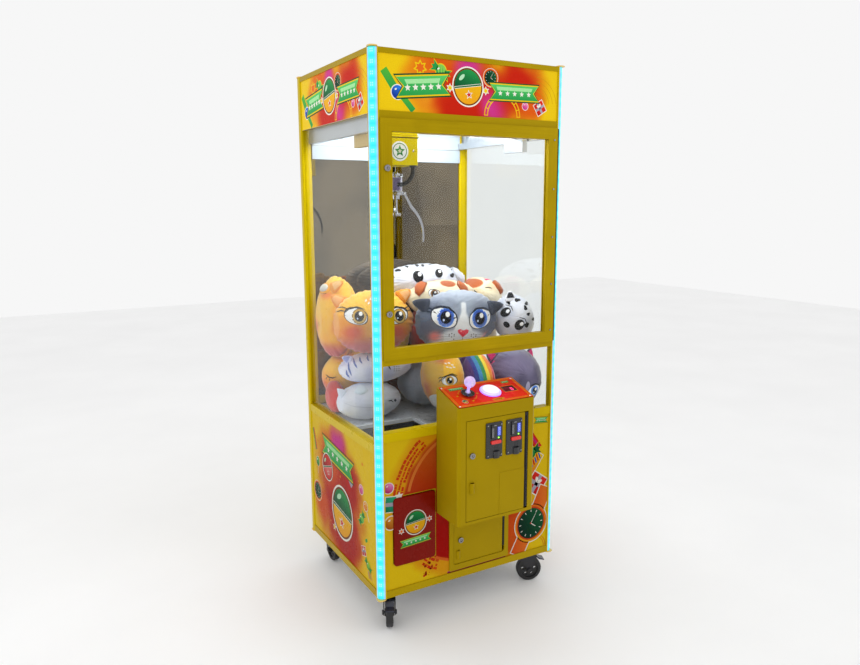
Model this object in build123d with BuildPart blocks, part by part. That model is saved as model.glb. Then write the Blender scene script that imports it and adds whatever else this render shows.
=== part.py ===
from build123d import *
import math
import os

# Claw crane machine: a glazed cabinet on casters with a gantry claw, a prize
# chute and a control box with joystick, drop button and coin acceptors.
# Millimetres, +Z up, front face towards -Y, origin on the floor under the
# middle of the machine. Cabinet coordinates (x, y, z) start at the left front
# bottom corner of the cabinet body; X0, Y0 and Z0 carry them into the frame.

# ---------------------------------------------------------------- dimensions
CAB_W = 760.0          # cabinet width
CAB_D = 670.0          # cabinet depth
CAB_H = 1850.0         # cabinet height without casters
CASTER_H = 125.0       # floor to cabinet underside
BOX_D = 143.0          # control box depth in front of the cabinet
FRONT_OUT = 155.0      # furthest point in front of the cabinet face
BACK_OUT = 5.0         # cap overhang behind the cabinet

X0 = -CAB_W / 2
Y0 = -(CAB_D + BACK_OUT - FRONT_OUT) / 2
Z0 = CASTER_H

LENS_R = 22.0          # corner light lens radius
POST = 27.0            # front corner post leg length
REAR_POST = 40.0       # rear corner post width
FACE = 1.0             # rail face behind the post face
PANEL_Y = 5.0          # panel face behind the post face
SHEET = 2.0            # sheet metal thickness

DOOR_X = (27.3, 731.0)
DOOR_Z = (858.0, 1634.0)
DOOR_STILE = 40.0
DOOR_Y = (-8.0, 16.0)
DOOR_HINGE = (735.5, -4.0)

BOX_X = (231.0, 549.0)
BOX_Z = (281.0, 698.0, 741.0)      # bottom, top at the front, top at the back
COIN_DOOR_X = (264.0, 506.0)
COIN_DOOR_Z = (294.0, 650.0)

CASH_X = (303.0, 518.0)
CASH_Z = (66.0, 260.0)
PRIZE_X = (59.0, 225.0)
PRIZE_Z = (116.0, 368.0)
PRIZE_HINGE = (3.0, 360.0)

DECK_Z = (550.0, 555.0)
CLAW = (160.0, 155.0)              # claw axis at its home place
GRIP_R = 30.0                      # finger pivot radius
GRIP_Z = 1405.0
WHEEL_R = 50.0
WHEEL_W = 26.0
CASTER_OFFSET = 28.0
FRONT_CASTERS = {"left": (68.0, 66.0, (-0.42, -0.907)), "right": (660.0, 64.0, (0.93, -0.367))}
REAR_CASTERS = {"left": (67.0, 603.0), "right": (693.0, 603.0)}

os.makedirs("parts", exist_ok=True)


def at(x, y, z=0.0):
    """A point of the cabinet in the frame."""
    return (X0 + x, Y0 + y, Z0 + z)


def xy(z):
    return Plane(origin=(0, 0, Z0 + z), x_dir=(1, 0, 0), z_dir=(0, 0, 1))


def xz(y):
    """A plane facing the front: local x is X and local y is Z."""
    return Plane(origin=(0, Y0 + y, 0), x_dir=(1, 0, 0), z_dir=(0, -1, 0))


def yz(x):
    """A plane facing +X: local x is Y and local y is Z."""
    return Plane(origin=(X0 + x, 0, 0), x_dir=(0, 1, 0), z_dir=(1, 0, 0))


def block(x0, x1, y0, y1, z0, z1, mode=Mode.ADD):
    with Locations(at((x0 + x1) / 2, (y0 + y1) / 2, (z0 + z1) / 2)):
        return Box(x1 - x0, y1 - y0, z1 - z0, mode=mode)


def rect(u0, u1, v0, v1, mode=Mode.ADD):
    """A rectangle from its two corners, in the sketch's own axes."""
    with Locations(((u0 + u1) / 2, (v0 + v1) / 2)):
        return Rectangle(u1 - u0, v1 - v0, mode=mode)


def front_rect(x0, x1, z0, z1, mode=Mode.ADD):
    return rect(X0 + x0, X0 + x1, Z0 + z0, Z0 + z1, mode=mode)


def save(piece, name):
    piece.part.label = name
    export_step(piece.part, f"parts/{name}.step")


# ------------------------------------------------------------ cabinet frame
POST_Z = (4.0, CAB_H - 4.0)

with BuildPart() as corner_posts:
    # front posts: an angle whose outer corner is left open for the light lens
    for side in (0, 1):
        s = 1 if side == 0 else -1
        ox = 0.0 if side == 0 else CAB_W
        with BuildSketch(xy(POST_Z[0])):
            with BuildLine():
                Polyline(
                    at(ox + s * LENS_R, 0)[:2], at(ox + s * POST, 0)[:2], at(ox + s * POST, POST)[:2],
                    at(ox, POST)[:2], at(ox, LENS_R)[:2], at(ox + s * LENS_R, LENS_R)[:2], close=True,
                )
            make_face()
        extrude(amount=POST_Z[1] - POST_Z[0])
    # rear posts: rounded rectangular tube
    for side in (0, 1):
        x_mid = REAR_POST / 2 if side == 0 else CAB_W - REAR_POST / 2
        with BuildSketch(xy(POST_Z[0])) as rear:
            with Locations(at(x_mid, CAB_D - 15)[:2]):
                RectangleRounded(REAR_POST, 30, 6)
                RectangleRounded(REAR_POST - 5, 25, 3.5, mode=Mode.SUBTRACT)
        extrude(amount=POST_Z[1] - POST_Z[0])
save(corner_posts, "corner_posts")

with BuildPart() as led_lenses:
    # curved diffuser strip in each front corner
    for side in (0, 1):
        s = 1 if side == 0 else -1
        ox = 0.0 if side == 0 else CAB_W
        c = at(ox + s * LENS_R, LENS_R)[:2]
        half = LENS_R * (1 - math.sqrt(0.5))
        inner = LENS_R - 3.0
        ihalf = LENS_R - inner * math.sqrt(0.5)
        with BuildSketch(xy(POST_Z[0] + 2)):
            with BuildLine():
                ThreePointArc(at(ox, LENS_R)[:2], at(ox + s * half, half)[:2], at(ox + s * LENS_R, 0)[:2])
                Line(at(ox + s * LENS_R, 0)[:2], at(ox + s * LENS_R, 3)[:2])
                ThreePointArc(at(ox + s * LENS_R, 3)[:2], at(ox + s * ihalf, ihalf)[:2], at(ox + s * 3, LENS_R)[:2])
                Line(at(ox + s * 3, LENS_R)[:2], at(ox, LENS_R)[:2])
            make_face()
        extrude(amount=POST_Z[1] - POST_Z[0] - 4)
save(led_lenses, "led_lenses")

with BuildPart() as post_caps:
    # moulded cap over each end of the four posts
    for z, top in ((0.0, False), (CAB_H - 4.0, True)):
        for side in (0, 1):
            for front in (True, False):
                w, d = (32.0, 32.0) if front else (44.0, 34.0)
                cx = -4 + w / 2 if side == 0 else CAB_W + 4 - w / 2
                cy = -4 + d / 2 if front else CAB_D + BACK_OUT - d / 2
                with BuildSketch(xy(z)):
                    with Locations(at(cx, cy)[:2]):
                        RectangleRounded(w, d, 12)
                extrude(amount=4.0)
    edges = post_caps.edges().group_by(Axis.Z)
    chamfer(edges[0] + edges[-1], length=1.2)
save(post_caps, "post_caps")

with BuildPart() as top_rails:
    block(POST, CAB_W - POST, FACE, 26.5, 1829, 1846)
    block(REAR_POST, CAB_W - REAR_POST, 643, 669, 1829, 1846)
    for x in (FACE, CAB_W - 27):
        block(x, x + 26, POST, 640, 1829, 1846)
    chamfer(top_rails.edges().filter_by(Axis.X).group_by(Axis.Z)[-1].group_by(Axis.Y)[0], length=1.5)
save(top_rails, "top_rails")

with BuildPart() as cross_rails:
    # header rail over the door, rail under the door, hidden header rails
    block(POST, CAB_W - POST, FACE, 30, 1635, 1658)
    block(POST, CAB_W - POST, FACE, 30, 838, 857)
    block(14.5, 30, 31, 640, 1652, 1690)
    block(CAB_W - 30, CAB_W - 14.5, 31, 640, 1652, 1690)
    block(REAR_POST, CAB_W - REAR_POST, 642, 655, 1652, 1672)
save(cross_rails, "cross_rails")

with BuildPart() as sill_rails:
    block(POST, CAB_W - POST, FACE, 37, 574, 604)
    for x in (FACE, CAB_W - 37):
        block(x, x + 36, POST, 640, 532, 562)
    block(REAR_POST, CAB_W - REAR_POST, 640, 669, 560, 590)
    chamfer(sill_rails.edges().filter_by(Axis.X).group_by(Axis.Z)[-1].group_by(Axis.Y)[0], length=1.5)
save(sill_rails, "sill_rails")

with BuildPart() as base_rails:
    block(POST, CAB_W - POST, FACE, 26.5, 4, 31)
    for x in (FACE, CAB_W - 37):
        block(x, x + 36, POST, 640, 4, 31)
    block(REAR_POST, CAB_W - REAR_POST, 640, 669, 4, 31)
save(base_rails, "base_rails")

with BuildPart() as floor_pan:
    # floor of the cabinet with a stand for the cash box
    block(37, CAB_W - 37, POST, 640, 4, 6)
    block(306, 308, 30, 195, 6, 64)
    block(512, 514, 30, 195, 6, 64)
    block(306, 514, 30, 195, 62, 64)
save(floor_pan, "floor_pan")

# ------------------------------------------------------------------- panels
with BuildPart() as side_panels:
    for x in (4.0, CAB_W - 4.0 - SHEET):
        block(x, x + SHEET, POST, 640, 31, 532)
save(side_panels, "side_panels")

with BuildPart() as front_panel:
    # lower front sheet with the prize door, cash door and service openings
    with BuildSketch(xz(PANEL_Y + SHEET)):
        front_rect(POST, CAB_W - POST, 31, 574)
        with Locations((X0 + 142, Z0 + 242)):
            RectangleRounded(170, 256, 14, mode=Mode.SUBTRACT)
        front_rect(300, 528, 64, 262, mode=Mode.SUBTRACT)
        front_rect(250, 530, 300, 560, mode=Mode.SUBTRACT)
    extrude(amount=SHEET)
save(front_panel, "front_panel")

with BuildPart() as rear_and_roof_panels:
    # lower back sheet with the inlet cut-out and vent slots
    with BuildSketch(xz(666)):
        front_rect(REAR_POST, CAB_W - REAR_POST, 31, 560)
        front_rect(86, 114, 96, 144, mode=Mode.SUBTRACT)
        with Locations((X0 + 380, Z0 + 330)):
            with GridLocations(0, 22, 1, 5):
                SlotOverall(160, 8, mode=Mode.SUBTRACT)
    extrude(amount=SHEET)
    block(REAR_POST, CAB_W - REAR_POST, 664, 666, 590, 1829)
    block(27, CAB_W - 27, 27, 639.5, 1838, 1840)
save(rear_and_roof_panels, "rear_and_roof_panels")

with BuildPart() as marquee_panels:
    # three lit header panels
    block(POST, CAB_W - POST, 5, 8, 1658, 1829)
    for x in (5.0, CAB_W - 8.0):
        block(x, x + 3, POST, 640, 1650, 1829)
save(marquee_panels, "marquee_panels")

with BuildPart() as ceiling_liner:
    block(30, 730, 32, 640, 1688, 1690)
    block(42, 718, 638, 640, 1544, 1690)
save(ceiling_liner, "ceiling_liner")

with BuildPart() as window_panes:
    for x in (10.0, CAB_W - 14.0):
        block(x, x + 4, POST, 640, 562, 1650)
    block(POST, CAB_W - POST, 10, 14, 604, 838)
save(window_panes, "window_panes")

with BuildPart() as rear_mirror:
    block(REAR_POST, CAB_W - REAR_POST, 650, 655, 590, 1550)
save(rear_mirror, "rear_mirror")

# ------------------------------------------------------- prize deck and chute
with BuildPart() as prize_deck:
    block(37, CAB_W - 37, 37, 640, *DECK_Z)
    # raised lip round two sides of the chute mouth
    block(272, 294, 37, 274, 555, 563)
    block(37, 272, 252, 274, 555, 563)
    block(36, 272, 36, 252, 540, 570, mode=Mode.SUBTRACT)
    fillet(prize_deck.edges().filter_by(Axis.Y).group_by(Axis.Z)[-1].sort_by(Axis.X)[-1], radius=3)
save(prize_deck, "prize_deck")

with BuildPart() as chute_guard:
    # clear wall round the chute mouth, one bent sheet
    block(279, 283, 40, 263, 563, 960)
    block(38, 279, 259, 263, 563, 960)
    fillet(chute_guard.edges().filter_by(Axis.Z).sort_by(lambda e: -(e.center().X + e.center().Y))[0], radius=3.5)
save(chute_guard, "chute_guard")

with BuildPart() as chute_duct:
    block(42, 44, 40, 250, 100, 549)
    block(268, 270, 40, 250, 100, 549)
    block(42, 270, 248, 250, 100, 549)
    block(42, 270, 38, 40, 374, 549)
    # sloping floor that runs down to the prize door
    with BuildSketch(yz(44)):
        with BuildLine():
            Polyline((Y0 + 34, Z0 + 106), (Y0 + 248, Z0 + 146), (Y0 + 248, Z0 + 149), (Y0 + 34, Z0 + 109), close=True)
        make_face()
    extrude(amount=224)
save(chute_duct, "chute_duct")

with BuildPart() as prize_door:
    with BuildSketch(xz(8)):
        with Locations((X0 + (PRIZE_X[0] + PRIZE_X[1]) / 2, Z0 + (PRIZE_Z[0] + PRIZE_Z[1]) / 2)):
            RectangleRounded(PRIZE_X[1] - PRIZE_X[0], PRIZE_Z[1] - PRIZE_Z[0], 12.5)
    extrude(amount=10)
    fillet(prize_door.faces().sort_by(Axis.Y)[0].edges(), radius=4)
save(prize_door, "prize_door")

# -------------------------------------------------------------- control box
# the inside of the box follows its folded corners, so the sheet keeps its thickness
with BuildPart() as box_hollow:
    with BuildSketch(yz(BOX_X[0] + SHEET)):
        with BuildLine():
            Polyline(
                (Y0 - 1, Z0 + BOX_Z[0] + 2), (Y0 - BOX_D + 2, Z0 + BOX_Z[0] + 2),
                (Y0 - BOX_D + 2, Z0 + BOX_Z[1] - 1.6), (Y0 - 1, Z0 + BOX_Z[2] - 2.6), close=True,
            )
        make_face()
    extrude(amount=BOX_X[1] - BOX_X[0] - 2 * SHEET)
    fillet(box_hollow.edges().filter_by(Axis.Z).group_by(Axis.Y)[0], radius=9)

with BuildPart() as control_box:
    with BuildSketch(yz(BOX_X[0])):
        with BuildLine():
            Polyline(
                (Y0 + 1, Z0 + BOX_Z[0]), (Y0 - BOX_D, Z0 + BOX_Z[0]), (Y0 - BOX_D, Z0 + BOX_Z[1]), (Y0 + 1, Z0 + BOX_Z[2]), close=True,
            )
        make_face()
    extrude(amount=BOX_X[1] - BOX_X[0])
    fillet(control_box.edges().filter_by(Axis.Z).group_by(Axis.Y)[0], radius=11)
    add(box_hollow.part, mode=Mode.SUBTRACT)
    # coin door opening, service opening in the back, and the deck opening on top
    block(262, 522, -BOX_D - 5, -BOX_D + 10, 292, 652, mode=Mode.SUBTRACT)
    block(250, 530, -6, 6, 300, 560, mode=Mode.SUBTRACT)
    block(243, 537, -130, -12, 690, 760, mode=Mode.SUBTRACT)
save(control_box, "control_box")

SLOPE = math.atan2(BOX_Z[2] - BOX_Z[1], BOX_D + 1)
DECK_MID = (390.0, -71.0, BOX_Z[1] + (BOX_Z[2] - BOX_Z[1]) * 72.0 / 144.0)
deck_plane = Plane(origin=at(*DECK_MID), x_dir=(1, 0, 0), z_dir=(0, -math.sin(SLOPE), math.cos(SLOPE)))
STICK_U = -78.0
BUTTON_U = 17.0
DISPLAY_U = 96.0
PIVOT_W = -30.0


def on_deck(u, v, w=0.0):
    """A plane parallel to the control deck, at (u, v) on it and w above it."""
    return Plane(origin=deck_plane.from_local_coords(Vector(u, v, w)), x_dir=deck_plane.x_dir, z_dir=deck_plane.z_dir)


with BuildPart() as control_panel_plate:
    with BuildSketch(deck_plane):
        RectangleRounded(308, 142, 5)
        with Locations((STICK_U, 0)):
            Circle(13, mode=Mode.SUBTRACT)
        with Locations((BUTTON_U, 0)):
            Circle(30, mode=Mode.SUBTRACT)
        with Locations((DISPLAY_U, 0)):
            Rectangle(50, 34, mode=Mode.SUBTRACT)
        with GridLocations(292, 126, 2, 2):
            Circle(2.1, mode=Mode.SUBTRACT)
    extrude(amount=2)
    # two lugs under the plate carry the joystick gimbal
    for u in (STICK_U - 21, STICK_U + 18):
        with BuildSketch(Plane(origin=deck_plane.from_local_coords(Vector(u, 0, 0)), x_dir=deck_plane.y_dir, z_dir=deck_plane.x_dir)):
            rect(-7, 7, -38, 0.5)
            with Locations((0, PIVOT_W)):
                Circle(3.05, mode=Mode.SUBTRACT)
        extrude(amount=3)
save(control_panel_plate, "control_panel_plate")

with BuildPart() as credit_display:
    with BuildSketch(on_deck(DISPLAY_U, 0, -8)):
        Rectangle(49, 33)
    extrude(amount=9.2)
    with BuildSketch(on_deck(DISPLAY_U, 0, 1.2)):
        Rectangle(42, 24)
    extrude(amount=-1.4, mode=Mode.SUBTRACT)
save(credit_display, "credit_display")

with BuildPart() as button_bezel:
    with BuildSketch(on_deck(BUTTON_U, 0, 2)):
        Circle(38)
        Circle(33, mode=Mode.SUBTRACT)
    extrude(amount=5)
    fillet(button_bezel.faces().sort_by(Axis.Z)[-1].edges().sort_by(SortBy.RADIUS)[-1], radius=2.5)
    with BuildSketch(on_deck(BUTTON_U, 0, 2)):
        Circle(34)
        Circle(26, mode=Mode.SUBTRACT)
    extrude(amount=1)
    with BuildSketch(on_deck(BUTTON_U, 0, 2.5)):
        Circle(29.6)
        Circle(26, mode=Mode.SUBTRACT)
    extrude(amount=-28)
save(button_bezel, "button_bezel")

with BuildPart() as drop_button:
    # domed cap on a plunger, revolved about the button's own axis
    button_axis = Axis(origin=on_deck(BUTTON_U, 0, 0).origin, direction=deck_plane.z_dir)
    with BuildSketch(Plane(origin=on_deck(BUTTON_U, 0, 0).origin, x_dir=deck_plane.x_dir, z_dir=-deck_plane.y_dir)):
        with BuildLine():
            Polyline((0, -22), (25.4, -22), (25.4, 7.4), (32.4, 7.4), (32.4, 10.5))
            dome = (32.4 ** 2 + 10.5 ** 2) / 21.0
            ThreePointArc((32.4, 10.5), (16.5, 21 - dome + math.sqrt(dome ** 2 - 16.5 ** 2)), (0, 21))
            Line((0, 21), (0, -22))
        make_face()
    revolve(axis=button_axis)
save(drop_button, "drop_button")

with BuildPart() as joystick_gimbal:
    with BuildPart(on_deck(STICK_U, 0, PIVOT_W), mode=Mode.PRIVATE) as ring:
        Box(30, 24, 8)
        Box(16, 16, 10, mode=Mode.SUBTRACT)
        with Locations(Location((0, 0, 0), (90, 0, 0))):
            Cylinder(2.55, 40, mode=Mode.SUBTRACT)
    add(ring.part)
    with BuildSketch(Plane(origin=on_deck(STICK_U + 8.5, 0, PIVOT_W).origin, x_dir=deck_plane.y_dir, z_dir=deck_plane.x_dir)):
        Circle(3.0)
    extrude(amount=15)
    with BuildSketch(Plane(origin=on_deck(STICK_U - 8.5, 0, PIVOT_W).origin, x_dir=deck_plane.y_dir, z_dir=-deck_plane.x_dir)):
        Circle(3.0)
    extrude(amount=15)
save(joystick_gimbal, "joystick_gimbal")

with BuildPart() as joystick_lever:
    stick_axis = Axis(origin=on_deck(STICK_U, 0, 0).origin, direction=deck_plane.z_dir)
    with BuildSketch(Plane(origin=on_deck(STICK_U, 0, 0).origin, x_dir=deck_plane.x_dir, z_dir=-deck_plane.y_dir)):
        with BuildLine():
            Polyline((0, -52), (4, -52), (4, 10), (24, 10), (24, 11.6), (9, 13), (7, 17), (5.4, 53 - math.sqrt(400 - 5.4 ** 2)))
            ThreePointArc((5.4, 53 - math.sqrt(400 - 5.4 ** 2)), (20, 53), (0, 73))
            Line((0, 73), (0, -52))
        make_face()
    revolve(axis=stick_axis)
    with BuildSketch(Plane(origin=on_deck(STICK_U, -11.5, PIVOT_W).origin, x_dir=deck_plane.x_dir, z_dir=deck_plane.y_dir)):
        Circle(2.5)
    extrude(amount=23)
save(joystick_lever, "joystick_lever")

# ---------------------------------------------------------------- coin door
MECHS = ((341.0, 408.0), (425.0, 492.0))
with BuildPart() as coin_door:
    block(COIN_DOOR_X[0], COIN_DOOR_X[1], -BOX_D, -BOX_D + SHEET, *COIN_DOOR_Z)
    block(400, 506, -BOX_D - 1, -BOX_D, 294, 446)
    # folded edge on the latch side
    block(264, 266, -BOX_D + 2, -BOX_D + 12, 294, 650)
    # half-round finger pull pressed out of the sheet
    with BuildSketch(xy(395)):
        with Locations(at(286, -BOX_D)[:2]):
            Ellipse(10, 9)
            Ellipse(7.6, 6.6, mode=Mode.SUBTRACT)
        rect(X0 + 270, X0 + 302, Y0 - BOX_D, Y0 - BOX_D + 20, mode=Mode.SUBTRACT)
    extrude(amount=36)
    block(279, 293, -BOX_D - 1, -BOX_D + 3, 397, 431, mode=Mode.SUBTRACT)
    for x0, x1 in MECHS:
        block(x0 + 6, x1 - 6, -BOX_D - 1, -BOX_D + 3, 513, 627, mode=Mode.SUBTRACT)
    with Locations(Location(at(286, -BOX_D, 528), (90, 0, 0))):
        Cylinder(8.2, 10, mode=Mode.SUBTRACT)
save(coin_door, "coin_door")

with BuildPart() as coin_mechs:
    for x0, x1 in MECHS:
        # face plate, rear housing, coin slot block and reject cup
        with BuildSketch(xz(-BOX_D)):
            with Locations((X0 + (x0 + x1) / 2, Z0 + 570)):
                RectangleRounded(x1 - x0, 126, 4)
            front_rect(x0 + 18, x1 - 5, 556, 570, mode=Mode.SUBTRACT)
        extrude(amount=4)
        block(x0 + 7, x1 - 7, -BOX_D - 0.5, -98, 514, 554)
        block(x0 + 7, x1 - 7, -BOX_D - 0.5, -98, 572, 626)
        block(x0 + 7, x1 - 7, -120, -98, 554, 572)
        block(x0 + 7, x0 + 14, -BOX_D - 0.5, -120, 554, 572)
        # raised coin channel with its slot
        block(x0 + 20, x0 + 30, -BOX_D - 8, -BOX_D - 4, 576, 625)
        block(x0 + 24, x0 + 26.4, -BOX_D - 9, -BOX_D + 14, 584, 612, mode=Mode.SUBTRACT)
        # reject cup
        for z, floor in ((508, False), (506, True)):
            with BuildSketch(xy(z)):
                with Locations(at(x0 + 42, -BOX_D - 4)[:2]):
                    Ellipse(13, 8)
                    if not floor:
                        Ellipse(10.6, 5.6, mode=Mode.SUBTRACT)
                rect(X0 + x0 + 20, X0 + x1, Y0 - BOX_D - 4, Y0 - BOX_D + 20, mode=Mode.SUBTRACT)
            extrude(amount=2 if floor else 22)
save(coin_mechs, "coin_mechs")

for side, (x0, x1) in zip(("left", "right"), MECHS):
    with BuildPart() as coin_return_button:
        with BuildSketch(xz(-127)):
            with Locations((X0 + x0 + 39.5, Z0 + 563)):
                RectangleRounded(42, 13, 5)
        extrude(amount=25.5)
        fillet(coin_return_button.faces().sort_by(Axis.Y)[0].edges(), radius=2)
    save(coin_return_button, f"coin_return_button_{side}")


def cam_lock(x, z, face, r, proud, depth):
    """Barrel, domed head with key slot, nut and cam of a small cam lock."""
    with Locations(Location(at(x, face - proud / 2, z), (90, 0, 0))):
        Cylinder(r, proud)
    with Locations(Location(at(x, face + depth / 2, z), (90, 0, 0))):
        Cylinder(r - 2.0, depth)
    block(x - 4, x + 4, face + depth, face + depth + 2, z - 5, z + 22)
    block(x - 0.8, x + 0.8, face - proud - 1, face - proud + 2, z - 4, z + 4, mode=Mode.SUBTRACT)


with BuildPart() as coin_door_hardware:
    cam_lock(286, 528, -BOX_D, 10, 5, 14)
    for x0, x1 in MECHS:
        for x in (x0 + 7, x1 - 5):
            for z in (624, 516):
                with Locations(Location(at(x, -BOX_D - 5, z), (90, 0, 0))):
                    Cylinder(2.6, 2)
save(coin_door_hardware, "coin_door_hardware")

# ---------------------------------------------------------------- cash door
with BuildPart() as cash_door_frame:
    with BuildSketch(xz(PANEL_Y)):
        with Locations((X0 + 415, Z0 + 158)):
            RectangleRounded(262, 242, 5)
            RectangleRounded(226, 198, 10, mode=Mode.SUBTRACT)
    extrude(amount=4)
save(cash_door_frame, "cash_door_frame")

with BuildPart() as cash_door:
    with BuildSketch(xz(4)):
        with Locations((X0 + 411, Z0 + 158)):
            RectangleRounded(CASH_X[1] - CASH_X[0], 192, 9)
        with Locations((X0 + 331, Z0 + 152)):
            Circle(8.2, mode=Mode.SUBTRACT)
        front_rect(316, 326, 84, 110, mode=Mode.SUBTRACT)
    extrude(amount=SHEET)
    # finger pull
    with BuildSketch(xy(82)):
        with Locations(at(321, 3)[:2]):
            Ellipse(9, 8)
            Ellipse(6.8, 5.8, mode=Mode.SUBTRACT)
        rect(X0 + 300, X0 + 340, Y0 + 3, Y0 + 20, mode=Mode.SUBTRACT)
    extrude(amount=30)
save(cash_door, "cash_door")

with BuildPart() as cash_door_lock:
    cam_lock(331, 152, 2, 10, 5, 14)
save(cash_door_lock, "cash_door_lock")

with BuildPart() as cash_box:
    block(312, 508, 22, 190, 64, 190)
    block(314, 506, 24, 188, 66, 192, mode=Mode.SUBTRACT)
save(cash_box, "cash_box")

with BuildPart() as piano_hinges:
    # long hinges of the front door, coin door and cash door
    block(732.2, 740, -3, 0, 860, 1632)
    block(508.5, 520, -142.5, -140.5, 298, 648)
    block(520, 527, 1.5, 3.5, 84, 244)
save(piano_hinges, "piano_hinges")

# --------------------------------------------------------------- front door
with BuildPart() as door_frame:
    # four mitred members with a groove for the pane
    x0, x1, z0, z1, t = DOOR_X[0], DOOR_X[1], DOOR_Z[0], DOOR_Z[1], DOOR_STILE
    members = (
        ((x0, z0), (x1, z0), (x1 - t, z0 + t), (x0 + t, z0 + t)),
        ((x0, z1), (x1, z1), (x1 - t, z1 - t), (x0 + t, z1 - t)),
        ((x0, z0), (x0, z1), (x0 + t, z1 - t), (x0 + t, z0 + t)),
        ((x1, z0), (x1, z1), (x1 - t, z1 - t), (x1 - t, z0 + t)),
    )
    rails = []
    for points in members:
        with BuildPart(mode=Mode.PRIVATE) as member:
            with BuildSketch(xz(DOOR_Y[1])):
                with BuildLine():
                    Polyline(*[(X0 + px, Z0 + pz) for px, pz in points], close=True)
                make_face()
            extrude(amount=DOOR_Y[1] - DOOR_Y[0])
            block(x0 + t - 7, x1 - t + 7, 5.8, 11.2, z0 + t - 7, z1 - t + 7, mode=Mode.SUBTRACT)
        rails.append(member.part.solid())
door_frame_part = Compound(label="door_frame", children=rails)
export_step(door_frame_part, "parts/door_frame.step")

with BuildPart() as door_glass:
    block(x0 + t - 6, x1 - t + 6, 6, 11, z0 + t - 6, z1 - t + 6)
save(door_glass, "door_glass")

with BuildPart() as door_hardware:
    for z in (1481, 1014):
        with Locations(Location(at(48, DOOR_Y[0] - 2.5, z), (90, 0, 0))):
            Cylinder(10, 5)
        block(47.2, 48.8, DOOR_Y[0] - 6, DOOR_Y[0] - 3, z - 4, z + 4, mode=Mode.SUBTRACT)
        block(44, 52, DOOR_Y[1], DOOR_Y[1] + 2, z - 6, z + 24)
    for i in range(5):
        with Locations(Location(at(716, DOOR_Y[0] - 1, 1592 - i * 172), (90, 0, 0))):
            Cylinder(3.2, 2)
save(door_hardware, "door_hardware")

# ------------------------------------------------------------------- gantry
with BuildPart() as gantry_side_rails:
    for side in (0, 1):
        s = 1 if side == 0 else -1
        ox = 0.0 if side == 0 else CAB_W
        with BuildSketch(xz(636)):
            with BuildLine():
                Polyline(*[(X0 + ox + s * px, Z0 + pz) for px, pz in (
                    (30, 1600), (50, 1600), (50, 1625), (34, 1625), (34, 1670), (30, 1670))], close=True)
            make_face()
        extrude(amount=596)
save(gantry_side_rails, "gantry_side_rails")

with BuildPart() as bridge_beam:
    block(54, 706, 180, 205, 1612, 1637)
    for x0b, x1b, lip0, lip1 in ((54, 76, 36, 54), (684, 706, 706, 724)):
        block(x0b, x1b, 140, 260, 1560, 1645)
        block(lip0, lip1, 145, 255, 1625.3, 1645)
save(bridge_beam, "bridge_beam")

# the inside of the cover, with the same folded corners
with BuildPart() as trolley_hollow:
    block(95, 219, 102, 220, 1500, 1650)
    fillet(trolley_hollow.edges().filter_by(Axis.Z), radius=7)

with BuildPart() as trolley_housing:
    block(93, 221, 100, 222, 1498, 1642)
    fillet(trolley_housing.edges().filter_by(Axis.Z), radius=9)
    add(trolley_hollow.part, mode=Mode.SUBTRACT)
    # carriage that hangs from the beam on two rollers
    block(104, 210, 101, 221, 1570, 1640)
    block(90, 224, 176, 209, 1606, 1650, mode=Mode.SUBTRACT)
    for x in (125, 189):
        with Locations(Location(at(x, 192.5, 1639.3), (90, 0, 0))):
            Cylinder(2, 40)
    # seam between lower cover and chassis
    block(92, 222, 99, 101, 1594, 1595.5, mode=Mode.SUBTRACT)
    with Locations(Location(at(CLAW[0], CLAW[1], 1499))):
        Cylinder(5, 10, mode=Mode.SUBTRACT)
save(trolley_housing, "trolley_housing")

with BuildPart() as claw_body:
    # solenoid can, pivot plate, plunger rod and lower hub, on one axis
    c = at(CLAW[0], CLAW[1])[:2]
    with BuildSketch(Plane(origin=(c[0], c[1], Z0), x_dir=(1, 0, 0), z_dir=(0, -1, 0))):
        with BuildLine():
            Polyline(
                (0, 1328), (16, 1328), (18, 1331), (18, 1338), (8, 1340), (6, 1346), (6, 1384),
                (14, 1386), (14, 1398), (24, 1399), (24, 1409), (22, 1411), (22, 1462),
                (26, 1463), (26, 1470), (8, 1472), (6, 1478), (0, 1478), close=True,
            )
        make_face()
    revolve(axis=Axis(origin=(c[0], c[1], Z0), direction=(0, 0, 1)))
    # a pair of ears for each finger
    for k in range(3):
        a = math.radians(120 * k)
        with BuildPart(Plane(origin=at(CLAW[0], CLAW[1], GRIP_Z), x_dir=(math.cos(a), math.sin(a), 0), z_dir=(0, 0, 1)), mode=Mode.PRIVATE) as ears:
            for v in (-5.5, 5.5):
                with Locations((27, v, 0)):
                    Box(20, 3, 10)
            with Locations(Location((GRIP_R, 0, 0), (90, 0, 0))):
                Cylinder(2.6, 30, mode=Mode.SUBTRACT)
        add(ears.part)
    with Locations(Location(at(CLAW[0], CLAW[1] - 24, 1434), (90, 0, 0))):
        Cylinder(7, 8)
save(claw_body, "claw_body")

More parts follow.
